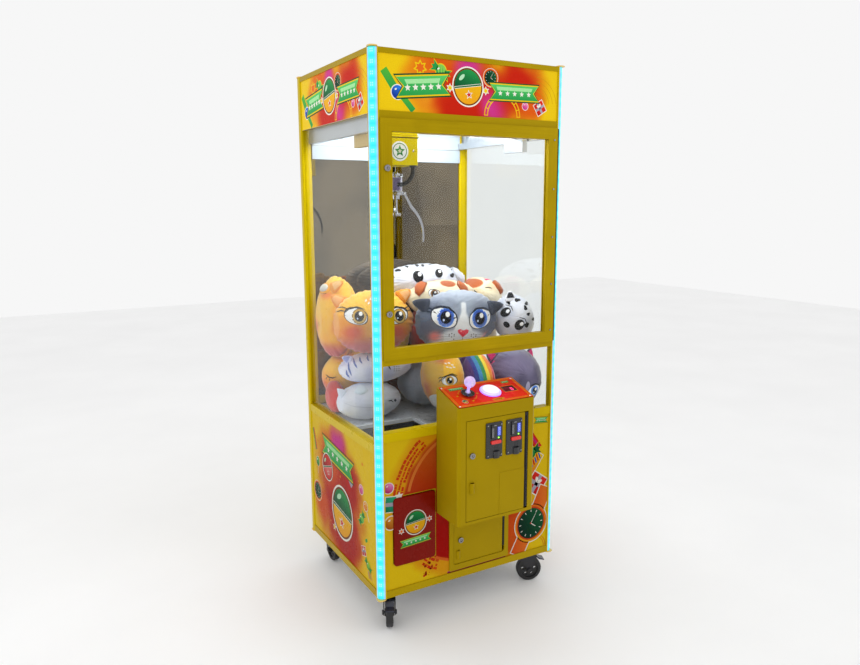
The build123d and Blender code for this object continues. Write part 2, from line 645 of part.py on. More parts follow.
for k in range(3):
    a = math.radians(120 * k)
    radial = Plane(
        origin=at(CLAW[0], CLAW[1], 0),
        x_dir=(math.cos(a), math.sin(a), 0),
        z_dir=(math.sin(a), -math.cos(a), 0),
    )
    with BuildPart() as claw_finger:
        # arm from the pivot to the knee, then a curved prong to its tip
        with BuildSketch(radial.offset(-3)):
            with BuildLine() as prong:
                l1 = Line((GRIP_R - 4, GRIP_Z + 3), (57, 1352))
                l2 = ThreePointArc((57, 1352), (89, 1312), (103, 1237))
                l3 = Line((103, 1237), (108, 1236))
                l4 = ThreePointArc((108, 1236), (97, 1318), (64, 1361))
                l5 = Line((64, 1361), (GRIP_R + 5, GRIP_Z + 3))
                l6 = ThreePointArc((GRIP_R + 5, GRIP_Z + 3), (GRIP_R + 0.5, GRIP_Z + 5.5), (GRIP_R - 4, GRIP_Z + 3))
            make_face()
        extrude(amount=6)
        # pivot pin
        with BuildSketch(Plane(origin=radial.from_local_coords(Vector(GRIP_R, GRIP_Z, -9)), x_dir=radial.x_dir, z_dir=radial.z_dir)):
            Circle(2.5)
        extrude(amount=18)
    save(claw_finger, f"claw_finger_{k + 1}")

with BuildPart() as hoist_line:
    with BuildSketch(xy(1478)):
        with Locations(at(CLAW[0], CLAW[1])[:2]):
            Circle(1.0)
    extrude(amount=22)
save(hoist_line, "hoist_line")

with BuildPart() as curly_cable:
    # outer shape of the coiled cable between the trolley and the solenoid
    cable = [at(206, 114, 1498), at(206, 114, 1460), at(188, 98, 1434), at(160, 100, 1434), at(160, 127, 1434)]
    vs = [Vector(*p) for p in cable]
    radii = []
    for i in range(1, len(vs) - 1):
        a0, b0 = vs[i] - vs[i - 1], vs[i + 1] - vs[i]
        turn = math.radians(a0.get_angle(b0))
        radii.append(0.45 * min(a0.length, b0.length) / math.tan(turn / 2))
    with BuildLine() as cable_path:
        FilletPolyline(*cable, radius=radii)
    with BuildSketch(Plane(origin=cable_path.line @ 0, z_dir=cable_path.line % 0)):
        Circle(8)
    sweep(path=cable_path.line)
cable_length = sum(e.length for e in cable_path.line.edges())
print("curly cable radii", [round(r, 1) for r in radii], "volume", round(curly_cable.part.volume), "section x length", round(math.pi * 64 * cable_length), "length", round(cable_length, 1))
save(curly_cable, "curly_cable")

# ------------------------------------------------------------ lights, inlet
with BuildPart() as light_tubes:
    # tube and two end holders along the front and the left side
    for p, rot, length in (
        (at(400, 60, 1668), (0, 90, 0), 560),
        (at(62, 330, 1668), (90, 0, 0), 520),
        (at(698, 330, 1668), (90, 0, 0), 520),
    ):
        with Locations(Location(p, rot)):
            Cylinder(8, length)
    for x in (116, 684):
        block(x - 6, x + 6, 50, 70, 1656, 1688)
    for x in (62, 698):
        for y in (66, 594):
            block(x - 10, x + 10, y - 6, y + 6, 1656, 1688)
save(light_tubes, "light_tubes")

with BuildPart() as power_inlet:
    block(83, 117, 666, 670, 93, 147)
    block(87, 113, 640, 666, 97, 143)
    block(89, 111, 655, 672, 100, 120, mode=Mode.SUBTRACT)
    for x in (94, 100, 106):
        block(x - 1, x + 1, 654, 667, 106, 112)
    block(91, 109, 669, 671.5, 125, 140)
save(power_inlet, "power_inlet")

# ------------------------------------------------------------------ casters
AXLE_Z = WHEEL_R - CASTER_H


def fork_shape(plane, offset, rigid):
    """Stamped fork about a local vertical axis, the axle holes bored through."""
    with BuildPart(plane, mode=Mode.PRIVATE) as fork:
        if rigid:
            with Locations((0, 0, 1.5)):
                Box(75, 75, 5)
            with GridLocations(56, 56, 2, 2):
                Cylinder(4.2, 30, mode=Mode.SUBTRACT)
            with Locations((0, 0, -7)):
                Cylinder(20, 14)
        else:
            with Locations((0, 0, -9)):
                Cylinder(27, 8)
        with Locations((offset / 2, 0, -15)):
            Box(44 + offset, 44, 5)
        for v in (-18, 22):
            with BuildSketch(Plane(origin=plane.from_local_coords(Vector(0, v, 0)), x_dir=plane.x_dir, z_dir=-plane.y_dir)):
                with BuildLine():
                    Polyline(
                        (-22, -13), (-22, -17.5), (offset - 10, AXLE_Z + 4), (offset - 10, AXLE_Z - 8),
                        (offset + 10, AXLE_Z - 8), (offset + 10, AXLE_Z + 4), (offset + 28, -22), (offset + 28, -13),
                        close=True,
                    )
                make_face()
            extrude(amount=4)
        with Locations(Location((offset, 0, AXLE_Z), (90, 0, 0))):
            Cylinder(5.0, 46, mode=Mode.SUBTRACT)
    return fork.part.solid()


def axle_shape(plane, offset):
    with BuildPart(plane, mode=Mode.PRIVATE) as axle:
        with Locations(Location((offset, 0, AXLE_Z), (90, 0, 0))):
            Cylinder(5.0, 48)
        for v in (-24.5, 24.5):
            with Locations(Location((offset, v, AXLE_Z), (90, 0, 0))):
                Cylinder(8.5, 5)
    return axle.part.solid()


def wheel_shape(plane, offset):
    """Wheel with a rounded tread, dished webs with lightening holes and a hub."""
    with BuildPart(plane, mode=Mode.PRIVATE) as wheel:
        with Locations(Location((offset, 0, AXLE_Z), (90, 0, 0))):
            Cylinder(WHEEL_R, WHEEL_W)
        fillet(wheel.edges().filter_by(GeomType.CIRCLE), radius=6)
        for v in (-WHEEL_W / 2, WHEEL_W / 2):
            with Locations(Location((offset, v, AXLE_Z), (90, 0, 0))):
                Cylinder(37, 12, mode=Mode.SUBTRACT)
        with Locations(Location((offset, 0, AXLE_Z), (90, 0, 0))):
            Cylinder(14, WHEEL_W + 8)
            with PolarLocations(25, 6):
                Cylinder(6.5, 40, mode=Mode.SUBTRACT)
            Cylinder(5.06, 80, mode=Mode.SUBTRACT)
    return wheel.part


mounts = []
for name, (cx, cy, d) in FRONT_CASTERS.items():
    n = math.hypot(*d)
    plane = Plane(origin=at(cx, cy, 0), x_dir=(d[0] / n, d[1] / n, 0), z_dir=(0, 0, 1))
    square = Plane(origin=at(cx, cy, 0), x_dir=(1, 0, 0), z_dir=(0, 0, 1))
    with BuildPart(square) as top_plate:
        with Locations((0, 0, 1.5)):
            Box(75, 75, 5)
        with GridLocations(56, 56, 2, 2):
            Cylinder(4.2, 20, mode=Mode.SUBTRACT)
        with Locations((0, 0, -2.9)):
            Cylinder(22, 4)
    mounts.append(top_plate.part.solid())
    fork_node = Compound(label=f"caster_fork_{name}", children=[fork_shape(plane, CASTER_OFFSET, False), axle_shape(plane, CASTER_OFFSET)])
    export_step(fork_node, f"parts/caster_fork_{name}.step")
    with BuildPart() as caster_wheel:
        add(wheel_shape(plane, CASTER_OFFSET))
    save(caster_wheel, f"caster_wheel_front_{name}")
    with BuildPart() as caster_brake:
        # foot pedal hinged between the fork legs behind the wheel
        with BuildSketch(Plane(origin=plane.from_local_coords(Vector(0, 16, 0)), x_dir=plane.x_dir, z_dir=-plane.y_dir)):
            with BuildLine():
                Polyline(*[(CASTER_OFFSET + px, pz) for px, pz in (
                    (23, -16), (27, -16), (41, -30), (60, -36), (60, -40), (38, -34.5), (23, -20))], close=True)
            make_face()
        extrude(amount=32)
        with BuildSketch(Plane(origin=plane.from_local_coords(Vector(0, 17.8, 0)), x_dir=plane.x_dir, z_dir=-plane.y_dir)):
            with Locations((CASTER_OFFSET + 25, -18)):
                Circle(2.4)
        extrude(amount=35.6)
    save(caster_brake, f"caster_brake_{name}")

for name, (cx, cy) in REAR_CASTERS.items():
    plane = Plane(origin=at(cx, cy, 0), x_dir=(0, -1, 0), z_dir=(0, 0, 1))
    mounts.append(fork_shape(plane, 0.0, True))
    mounts.append(axle_shape(plane, 0.0))
    with BuildPart() as rear_wheel:
        add(wheel_shape(plane, 0.0))
    save(rear_wheel, f"caster_wheel_rear_{name}")
caster_mounts = Compound(label="caster_mounts", children=mounts)
export_step(caster_mounts, "parts/caster_mounts.step")

# -------------------------------------------------------------------- prizes
# simple closed shapes of the heap of stuffed prizes: centre and half sizes
PLUSH = {
    "white_seal": ((138, 365, 624), (121, 80, 66)),
    "red_cushion": ((49, 487, 621), (32, 59, 60)),
    "striped_cub": ((186, 400, 744), (141, 85, 56)),
    "orange_low": ((160, 574, 680), (119, 74, 97)),
    "fawn_low": ((359, 181, 724), (56, 116, 115)),
    "rainbow": ((478, 137, 690), (48, 114, 122)),
    "violet_cat": ((644, 120, 703), (99, 103, 109)),
    "grey_low": ((395, 411, 650), (85, 113, 79)),
    "white_low": ((600, 420, 645), (108, 140, 84)),
    "brown_low": ((400, 582, 640), (82, 50, 68)),
    "blue_low": ((600, 600, 650), (110, 36, 80)),
    "fawn_big": ((172, 381, 925), (155, 87, 114)),
    "fawn_rear": ((97, 559, 922), (80, 85, 153)),
    "yellow_mid": ((301, 525, 848), (85, 93, 105)),
    "red_mid": ((457, 460, 848), (75, 122, 94)),
    "grey_mid": ((639, 441, 835), (90, 150, 95)),
    "kitten": ((458, 237, 929), (171, 67, 107)),
    "spotted_right": ((686, 186, 925), (57, 103, 86)),
    "pup": ((456, 354, 1003), (148, 59, 65)),
    "spotted_top": ((449, 498, 1052), (190, 89, 70)),
    "pup_right": ((672, 407, 995), (72, 110, 68)),
}
toys = []
for centre, half in PLUSH.values():
    with BuildPart() as toy:
        Sphere(1.0)
        scale(by=half)
    toys.append(toy.part.solid().moved(Location(at(*centre))))
plush_prizes = Compound(label="plush_prizes", children=toys)
export_step(plush_prizes, "parts/plush_prizes.step")
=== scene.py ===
import math
import random

import bmesh
import bpy
import numpy as np
from mathutils import Matrix, Vector, noise
from mathutils.bvhtree import BVHTree


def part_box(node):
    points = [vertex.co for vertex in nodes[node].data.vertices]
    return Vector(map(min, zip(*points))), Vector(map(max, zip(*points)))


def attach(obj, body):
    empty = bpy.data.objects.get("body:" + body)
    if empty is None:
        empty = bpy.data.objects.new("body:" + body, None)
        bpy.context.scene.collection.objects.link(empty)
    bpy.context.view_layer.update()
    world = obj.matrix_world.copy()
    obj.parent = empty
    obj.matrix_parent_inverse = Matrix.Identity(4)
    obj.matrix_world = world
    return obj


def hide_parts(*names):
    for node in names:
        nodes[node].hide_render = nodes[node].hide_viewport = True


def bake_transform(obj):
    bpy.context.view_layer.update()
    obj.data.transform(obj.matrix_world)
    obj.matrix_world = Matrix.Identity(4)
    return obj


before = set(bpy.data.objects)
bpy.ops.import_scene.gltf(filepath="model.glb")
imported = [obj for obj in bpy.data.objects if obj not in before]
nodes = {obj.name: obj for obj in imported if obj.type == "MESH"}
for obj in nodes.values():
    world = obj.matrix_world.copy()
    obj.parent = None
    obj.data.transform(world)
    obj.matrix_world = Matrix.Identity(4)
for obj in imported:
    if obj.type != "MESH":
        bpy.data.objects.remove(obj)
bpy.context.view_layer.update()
random.seed(11)

X0, Y0, Z0 = -380.0, -260.0, 125.0
SLOPE = math.atan2(43.0, 144.0)


def P(x, y, z):
    """Cabinet millimetres to frame metres."""
    return Vector(((X0 + x) / 1000, (Y0 + y) / 1000, (Z0 + z) / 1000))


# ------------------------------------------------------------------ materials
def nodes_of(name):
    m = bpy.data.materials.new(name)
    m.use_nodes = True
    nt = m.node_tree
    return m, nt, nt.nodes["Principled BSDF"]


def coords(nt, scale=(1, 1, 1), rot=(0, 0, 0), space="Object"):
    tc = nt.nodes.new("ShaderNodeTexCoord")
    mp = nt.nodes.new("ShaderNodeMapping")
    mp.inputs["Scale"].default_value = scale
    mp.inputs["Rotation"].default_value = rot
    nt.links.new(tc.outputs[space], mp.inputs["Vector"])
    return mp.outputs["Vector"]


def noise_tex(nt, vec, scale, detail=4.0, rough=0.55, dist=0.0):
    n = nt.nodes.new("ShaderNodeTexNoise")
    n.inputs["Scale"].default_value = scale
    n.inputs["Detail"].default_value = detail
    n.inputs["Roughness"].default_value = rough
    n.inputs["Distortion"].default_value = dist
    nt.links.new(vec, n.inputs["Vector"])
    return n.outputs["Fac"]


def ramp(nt, fac, stops):
    r = nt.nodes.new("ShaderNodeValToRGB")
    el = r.color_ramp.elements
    while len(el) < len(stops):
        el.new(0.5)
    for e, (p, c) in zip(el, stops):
        e.position = p
        e.color = (*c, 1) if len(c) == 3 else c
    nt.links.new(fac, r.inputs["Fac"])
    return r.outputs["Color"]


def rng(nt, fac, lo, hi, a=0.0, b=1.0):
    m = nt.nodes.new("ShaderNodeMapRange")
    m.inputs["From Min"].default_value = a
    m.inputs["From Max"].default_value = b
    m.inputs["To Min"].default_value = lo
    m.inputs["To Max"].default_value = hi
    nt.links.new(fac, m.inputs["Value"])
    return m.outputs["Result"]


def bump(nt, b, fac, strength, distance=0.001):
    n = nt.nodes.new("ShaderNodeBump")
    n.inputs["Strength"].default_value = strength
    n.inputs["Distance"].default_value = distance
    nt.links.new(fac, n.inputs["Height"])
    nt.links.new(n.outputs["Normal"], b.inputs["Normal"])
    return n


def math_node(nt, op, a, b=None):
    n = nt.nodes.new("ShaderNodeMath")
    n.operation = op
    for i, v in enumerate((a, b)):
        if v is None:
            continue
        if isinstance(v, (int, float)):
            n.inputs[i].default_value = v
        else:
            nt.links.new(v, n.inputs[i])
    return n.outputs[0]


def mul(c, k):
    return tuple(min(1.0, x * k) for x in c)


def surface(name, color, rough=0.4, metallic=0.0, vary=0.12, scale=9.0, grain=600.0, grain_bump=0.05, stretch=(1, 1, 1), coat=0.0, rough_vary=0.08):
    """Base finish: slow colour drift, fine grain in the bump, and smudges in the gloss."""
    m, nt, b = nodes_of(name)
    vec = coords(nt)
    slow = noise_tex(nt, vec, scale, 5)
    nt.links.new(ramp(nt, slow, [(0.25, mul(color, 1 - vary)), (0.55, color), (0.8, mul(color, 1 + vary))]), b.inputs["Base Color"])
    smear = noise_tex(nt, coords(nt, (3, 3, 3)), scale * 1.7, 6, 0.65)
    nt.links.new(rng(nt, smear, rough - rough_vary, rough + rough_vary, 0.3, 0.7), b.inputs["Roughness"])
    b.inputs["Metallic"].default_value = metallic
    if coat:
        b.inputs["Coat Weight"].default_value = coat
        b.inputs["Coat Roughness"].default_value = 0.12
    fine = noise_tex(nt, coords(nt, stretch), grain, 2, 0.5)
    bump(nt, b, fine, grain_bump, 0.0004)
    return m


GOLD = (0.400, 0.272, 0.003)
# the golden paint darkened to 0.86 of its brightness: painted shade for the control box and its coin and cash doors
GOLD_IN_PAINTED_SHADE = (0.345, 0.232, 0.002)


def gold_hairline(name, across):
    """Golden paint over brushed metal; the hairline runs along the member."""
    m, nt, b = nodes_of(name)
    stretch = {"x": (4, 90, 700), "z": (700, 90, 4), "y": (700, 4, 700)}[across]
    hair = noise_tex(nt, coords(nt, stretch), 1.0, 5, 0.7)
    slow = noise_tex(nt, coords(nt), 7.0, 3)
    mix = math_node(nt, "ADD", math_node(nt, "MULTIPLY", hair, 0.6), math_node(nt, "MULTIPLY", slow, 0.4))
    nt.links.new(ramp(nt, mix, [(0.32, mul(GOLD, 0.80)), (0.52, GOLD), (0.68, mul(GOLD, 1.22))]), b.inputs["Base Color"])
    nt.links.new(rng(nt, hair, 0.30, 0.48, 0.3, 0.7), b.inputs["Roughness"])
    b.inputs["Metallic"].default_value = 0.25
    bump(nt, b, hair, 0.10, 0.0003)
    return m


M = {}


def tinted_gloss(mat, tint, level=0.3):
    """Reflections carry the paint's own colour, as on a lacquer with fine metal in it."""
    b = mat.node_tree.nodes["Principled BSDF"]
    b.inputs["Specular Tint"].default_value = (*tint, 1)
    b.inputs["Specular IOR Level"].default_value = level


M["gold_x"] = gold_hairline("gold_hairline_x", "x")
M["gold_z"] = gold_hairline("gold_hairline_z", "z")
M["gold"] = surface("golden_paint", GOLD, 0.34, 0.15, 0.07, 6, 900, 0.05)
M["post"] = surface("post_yellow", (0.56, 0.41, 0.002), 0.32, 0.05, 0.05, 5, 900, 0.05)
# painted shade: a darker copy of the golden paint, with a finer grain, for the control box and its doors
M["yellow"] = surface("golden_paint_in_painted_shade", GOLD_IN_PAINTED_SHADE, 0.36, 0.05, 0.06, 6, 1500, 0.12)
M["cap"] = surface("amber_cap", (0.80, 0.50, 0.10), 0.30, 0.0, 0.05, 30, 900, 0.04, coat=0.4)
M["white"] = surface("white_board", (0.80, 0.82, 0.85), 0.42, 0.0, 0.03, 5, 500, 0.03)
M["deck_white"] = surface("prize_deck_laminate", (0.62, 0.65, 0.70), 0.30, 0.0, 0.06, 8, 500, 0.03, coat=0.3)
# also used for the black slabs under the trolley lid and in the key slots, which are painted shade
M["dark"] = surface("black_duct_and_painted_shade", (0.012, 0.012, 0.014), 0.55, 0.0, 0.2, 12, 900, 0.1)
M["black_plastic"] = surface("black_moulding", (0.013, 0.013, 0.016), 0.30, 0.0, 0.2, 25, 1600, 0.14, coat=0.2)
M["black_hinge"] = surface("black_hinge", (0.012, 0.012, 0.013), 0.34, 0.3, 0.2, 20, 900, 0.08)
M["black_metal"] = surface("black_coated_steel", (0.016, 0.016, 0.020), 0.36, 0.4, 0.2, 20, 900, 0.08, coat=0.3)
M["rubber"] = surface("black_tread", (0.012, 0.012, 0.013), 0.52, 0.0, 0.3, 40, 1200, 0.2)
M["chrome"] = surface("chrome", (0.62, 0.62, 0.64), 0.16, 1.0, 0.08, 30, 900, 0.03, rough_vary=0.06)
M["steel"] = surface("brushed_rail", (0.60, 0.61, 0.63), 0.36, 1.0, 0.05, 9, 60, 0.010, stretch=(20, 0.6, 20))
# base colour darkened to 0.30: painted dark reflections on the lock faces
M["lock_chrome"] = surface("lock_chrome", (0.30, 0.29, 0.29), 0.13, 1.0, 0.15, 60, 900, 0.04, rough_vary=0.05)
M["galv"] = surface("galvanised_sheet", (0.42, 0.43, 0.45), 0.45, 0.9, 0.2, 18, 300, 0.06)
M["red_flap"] = surface("red_moulded_flap", (0.175, 0.0045, 0.0012), 0.26, 0.0, 0.10, 7, 900, 0.03, coat=0.04)
M["red_button"] = surface("red_button", (0.72, 0.018, 0.012), 0.28, 0.0, 0.08, 60, 1200, 0.03, coat=0.4)
M["trolley"] = surface("trolley_yellow", (0.66, 0.53, 0.010), 0.40, 0.0, 0.05, 12, 900, 0.06)
M["tan"] = surface("bridge_tan", (0.60, 0.40, 0.10), 0.42, 0.0, 0.06, 12, 900, 0.06, coat=0.2)
M["plum"] = surface("coil_winding", (0.10, 0.05, 0.22), 0.35, 0.0, 0.2, 60, 1200, 0.1, coat=0.3)
M["blue_plastic"] = surface("pedal_blue_black", (0.012, 0.016, 0.035), 0.34, 0.0, 0.2, 30, 900, 0.1, coat=0.3)


for _k in ("gold_x", "gold_z", "gold", "post", "yellow", "trolley"):
    tinted_gloss(M[_k], (1.0, 0.76, 0.06), 0.16)
tinted_gloss(M["red_flap"], (1.0, 0.30, 0.25), 0.2)


def emitter(name, color, strength, base=None, vary=0.1, scale=60.0):
    m, nt, b = nodes_of(name)
    n = noise_tex(nt, coords(nt), scale, 2)
    nt.links.new(ramp(nt, n, [(0.2, mul(base or color, 1 - vary)), (0.8, base or color)]), b.inputs["Base Color"])
    b.inputs["Emission Color"].default_value = (*color, 1)
    b.inputs["Emission Strength"].default_value = strength
    b.inputs["Roughness"].default_value = 0.3
    return m


M["tube"] = emitter("lamp_tube", (0.93, 0.97, 1.0), 6.0)
M["ceiling_glow"] = emitter("ceiling_glow", (0.84, 0.94, 1.0), 0.10, base=(0.50, 0.56, 0.62), scale=5.0)
M["led_green"] = emitter("green_led", (0.25, 1.0, 0.05), 4.0)
M["lcd_blue"] = emitter("blue_lcd", (0.03, 0.06, 0.55), 0.6, base=(0.02, 0.03, 0.25))
M["lcd_line"] = emitter("lcd_segment", (0.35, 0.45, 1.0), 1.2)
M["digit"] = emitter("red_digit", (1.0, 0.05, 0.22), 2.6)
M["button_glow"] = None


def clear(name, tint, rough=0.03, film=0.16, haze=0.0):
    """A thin clear pane: mostly see-through, with a reflection and a little dust."""
    m, nt, b = nodes_of(name)
    nt.nodes.remove(b)
    out = nt.nodes["Material Output"]
    tr = nt.nodes.new("ShaderNodeBsdfTransparent")
    tr.inputs["Color"].default_value = (*tint, 1)
    gl = nt.nodes.new("ShaderNodeBsdfGlossy")
    gl.inputs["Roughness"].default_value = rough
    fr = nt.nodes.new("ShaderNodeFresnel")
    fr.inputs["IOR"].default_value = 1.45
    mx = nt.nodes.new("ShaderNodeMixShader")
    dust = noise_tex(nt, coords(nt), 14.0, 6, 0.65)
    amount = math_node(nt, "ADD", math_node(nt, "MULTIPLY", fr.outputs[0], 0.13), rng(nt, dust, 0.0, film * 0.05, 0.45, 0.75))
    nt.links.new(amount, mx.inputs[0])
    nt.links.new(tr.outputs[0], mx.inputs[1])
    nt.links.new(gl.outputs[0], mx.inputs[2])
    last = mx
    if haze:
        df = nt.nodes.new("ShaderNodeBsdfDiffuse")
        df.inputs["Color"].default_value = (0.9, 0.92, 0.95, 1)
        m2 = nt.nodes.new("ShaderNodeMixShader")
        nt.links.new(rng(nt, dust, haze * 0.4, haze, 0.35, 0.7), m2.inputs[0])
        nt.links.new(mx.outputs[0], m2.inputs[1])
        nt.links.new(df.outputs[0], m2.inputs[2])
        last = m2
    nt.links.new(last.outputs[0], out.inputs["Surface"])
    m.use_backface_culling = False
    return m


M["glass"] = clear("window_glass", (0.985, 0.995, 0.992))
M["acrylic"] = clear("guard_acrylic", (0.985, 0.992, 0.995), 0.05, 0.3, 0.012)


def mirror_material():
    m, nt, b = nodes_of("mirror_with_painted_reflection")
    # the dark blue and brown blotches in the base colour are a painted reflection of a room
    n = noise_tex(nt, coords(nt), 2.6, 2, 0.5)
    nt.links.new(ramp(nt, n, [(0.30, (0.070, 0.072, 0.100)), (0.48, (0.150, 0.125, 0.095)), (0.66, (0.225, 0.180, 0.125))]), b.inputs["Base Color"])
    b.inputs["Metallic"].default_value = 1.0
    b.inputs["Roughness"].default_value = 0.015
    return m


M["mirror"] = mirror_material()


def lens_material():
    """Cyan diffuser lit from behind by two columns of white light points."""
    m, nt, b = nodes_of("cyan_lens")
    tc = nt.nodes.new("ShaderNodeTexCoord")
    sep = nt.nodes.new("ShaderNodeSeparateXYZ")
    nt.links.new(tc.outputs["Object"], sep.inputs[0])
    ax = math_node(nt, "SUBTRACT", 0.380, math_node(nt, "ABSOLUTE", sep.outputs["X"]))
    ay = math_node(nt, "ADD", sep.outputs["Y"], 0.260)
    u = math_node(nt, "ABSOLUTE", math_node(nt, "SUBTRACT", ax, ay))
    col = math_node(nt, "ABSOLUTE", math_node(nt, "SUBTRACT", u, 0.0042))
    col = rng(nt, col, 1.0, 0.0, 0.0008, 0.0036)
    z = math_node(nt, "MODULO", math_node(nt, "MULTIPLY", sep.outputs["Z"], 1.0), 0.0335)
    zz = math_node(nt, "ABSOLUTE", math_node(nt, "SUBTRACT", z, 0.01675))
    dot_a = math_node(nt, "ABSOLUTE", math_node(nt, "SUBTRACT", zz, 0.0035))
    row = rng(nt, dot_a, 1.0, 0.0, 0.0006, 0.0034)
    dot = math_node(nt, "MULTIPLY", col, row)
    glow = rng(nt, zz, 0.30, 0.0, 0.002, 0.016)
    dot = math_node(nt, "MINIMUM", math_node(nt, "ADD", dot, glow), 1.0)
    edge = rng(nt, u, 0.0, 1.0, 0.012, 0.020)
    core = ramp(nt, dot, [(0.0, (0.030, 0.80, 0.88)), (0.45, (0.10, 0.90, 0.97)), (1.0, (0.42, 1.0, 1.0))])
    mixn = nt.nodes.new("ShaderNodeMix")
    mixn.data_type = "RGBA"
    nt.links.new(edge, mixn.inputs[0])
    nt.links.new(core, mixn.inputs[6])
    mixn.inputs[7].default_value = (0.35, 0.55, 1.0, 1)
    nt.links.new(mixn.outputs[2], b.inputs["Emission Color"])
    nt.links.new(rng(nt, dot, 0.95, 1.15, 0, 1), b.inputs["Emission Strength"])
    b.inputs["Base Color"].default_value = (0.05, 0.35, 0.4, 1)
    nt.links.new(ramp(nt, dot, [(0.0, (0.02, 0.16, 0.18)), (1.0, (0.1, 0.3, 0.32))]), b.inputs["Base Color"])
    b.inputs["Specular IOR Level"].default_value = 0.15
    b.inputs["Roughness"].default_value = 0.25
    return m


M["lens"] = lens_material()


def ink_material(name="print_ink", rough=0.28, tone=0.66):
    """Printed film: colour per face from the mesh, with print grain and gloss."""
    m, nt, b = nodes_of(name)
    at = nt.nodes.new("ShaderNodeVertexColor")
    at.layer_name = "Ink"
    grain = noise_tex(nt, coords(nt), 420.0, 2, 0.6)
    mx = nt.nodes.new("ShaderNodeMix")
    mx.data_type = "RGBA"
    mx.blend_type = "MULTIPLY"
    mx.inputs[0].default_value = 1.0
    nt.links.new(at.outputs["Color"], mx.inputs[6])
    nt.links.new(ramp(nt, grain, [(0.3, (tone * 0.88, tone * 0.86, tone * 0.82)), (0.7, (tone, tone, tone * 0.96))]), mx.inputs[7])
    nt.links.new(mx.outputs[2], b.inputs["Base Color"])
    smear = noise_tex(nt, coords(nt), 16.0, 5, 0.6)
    nt.links.new(rng(nt, smear, rough - 0.08, rough + 0.1, 0.3, 0.7), b.inputs["Roughness"])
    b.inputs["Specular IOR Level"].default_value = 0.04
    bump(nt, b, grain, 0.02, 0.0002)
    return m, nt, b, mx


M["ink"] = ink_material()[0]
M["ink_deck"] = ink_material("deck_ink", tone=0.92)[0]
_m, _nt, _b, _mx = ink_material("backlit_ink", tone=0.72)
_nt.links.new(_mx.outputs[2], _b.inputs["Emission Color"])
_b.inputs["Emission Strength"].default_value = 0.38
M["ink_lit"] = _m


# --------------------------------------------------------------- mesh helpers
def obj_from(name, verts, faces, mat=None, smooth=False):
    me = bpy.data.meshes.new(name)
    me.from_pydata([tuple(v) for v in verts], [], faces)
    me.update()
    o = bpy.data.objects.new(name, me)
    bpy.context.scene.collection.objects.link(o)
    if mat:
        me.materials.append(mat)
    if smooth:
        for p in me.polygons:
            p.use_smooth = True
    return o


def from_bm(name, bm, mat=None, smooth=True):
    me = bpy.data.meshes.new(name)
    bm.normal_update()
    bm.to_mesh(me)
    bm.free()
    o = bpy.data.objects.new(name, me)
    bpy.context.scene.collection.objects.link(o)
    if mat:
        me.materials.append(mat)
    if smooth:
        for p in me.polygons:
            p.use_smooth = True
    return o


def lathe(name, profile, origin, zdir, mat, seg=48, smooth=True, xdir=None):
    """Revolves (r, h) points, in mm, about zdir from a point given in metres."""
    z = Vector(zdir).normalized()
    x = Vector(xdir).normalized() if xdir is not None else z.orthogonal().normalized()
    y = z.cross(x)
    o = Vector(origin)
    verts, rings, faces = [], [], []
    for r, h in profile:
        if r < 1e-6:
            rings.append([len(verts)])
            verts.append(o + z * (h / 1000))
        else:
            ring = []
            for i in range(seg):
                a = 2 * math.pi * i / seg
                ring.append(len(verts))
                verts.append(o + (x * math.cos(a) + y * math.sin(a)) * (r / 1000) + z * (h / 1000))
            rings.append(ring)
    for a, b in zip(rings, rings[1:]):
        if len(a) == 1 and len(b) == 1:
            continue
        for i in range(seg):
            j = (i + 1) % seg
            if len(a) == 1:
                faces.append((a[0], b[i], b[j]))
            elif len(b) == 1:
                faces.append((a[i], b[0], a[j]))
            else:
                faces.append((a[i], b[i], b[j], a[j]))
    ob = obj_from(name, verts, faces, mat, smooth)
    fix_normals(ob)
    if smooth:
        sharpen(ob, 35)
    return ob


def fix_normals(o):
    bm = bmesh.new()
    bm.from_mesh(o.data)
    bmesh.ops.recalc_face_normals(bm, faces=bm.faces)
    bm.to_mesh(o.data)
    bm.free()


def sharpen(o, angle=35):
    """Splits shading at hard edges."""
    bm = bmesh.new()
    bm.from_mesh(o.data)
    for e in bm.edges:
        if len(e.link_faces) == 2 and e.calc_face_angle(0) > math.radians(angle):
            e.smooth = False
    bm.to_mesh(o.data)
    bm.free()


def bevelled(o, width, segments=2, angle=30):
    """Applies a bevel to the mesh."""
    m = o.modifiers.new("bevel", "BEVEL")
    m.width = width
    m.segments = segments
    m.limit_method = "ANGLE"
    m.angle_limit = math.radians(angle)
    dg = bpy.context.evaluated_depsgraph_get()
    me = bpy.data.meshes.new_from_object(o.evaluated_get(dg))
    old = o.data
    o.modifiers.clear()
    o.data = me
    me.name = old.name
    bpy.data.meshes.remove(old)
    for p in me.polygons:
        p.use_smooth = True
    sharpen(o, 40)
    return o


def brick(name, lo, hi, mat, bevel=0.0006):
    """A block between two corners in metres, with softened edges."""
    (a, b, c), (d, e, f) = lo, hi
    v = [(x, y, z) for z in (c, f) for y in (b, e) for x in (a, d)]
    fcs = [(0, 2, 3, 1), (4, 5, 7, 6), (0, 1, 5, 4), (2, 6, 7, 3), (0, 4, 6, 2), (1, 3, 7, 5)]
    o = obj_from(name, v, fcs, mat)
    return bevelled(o, bevel) if bevel else o


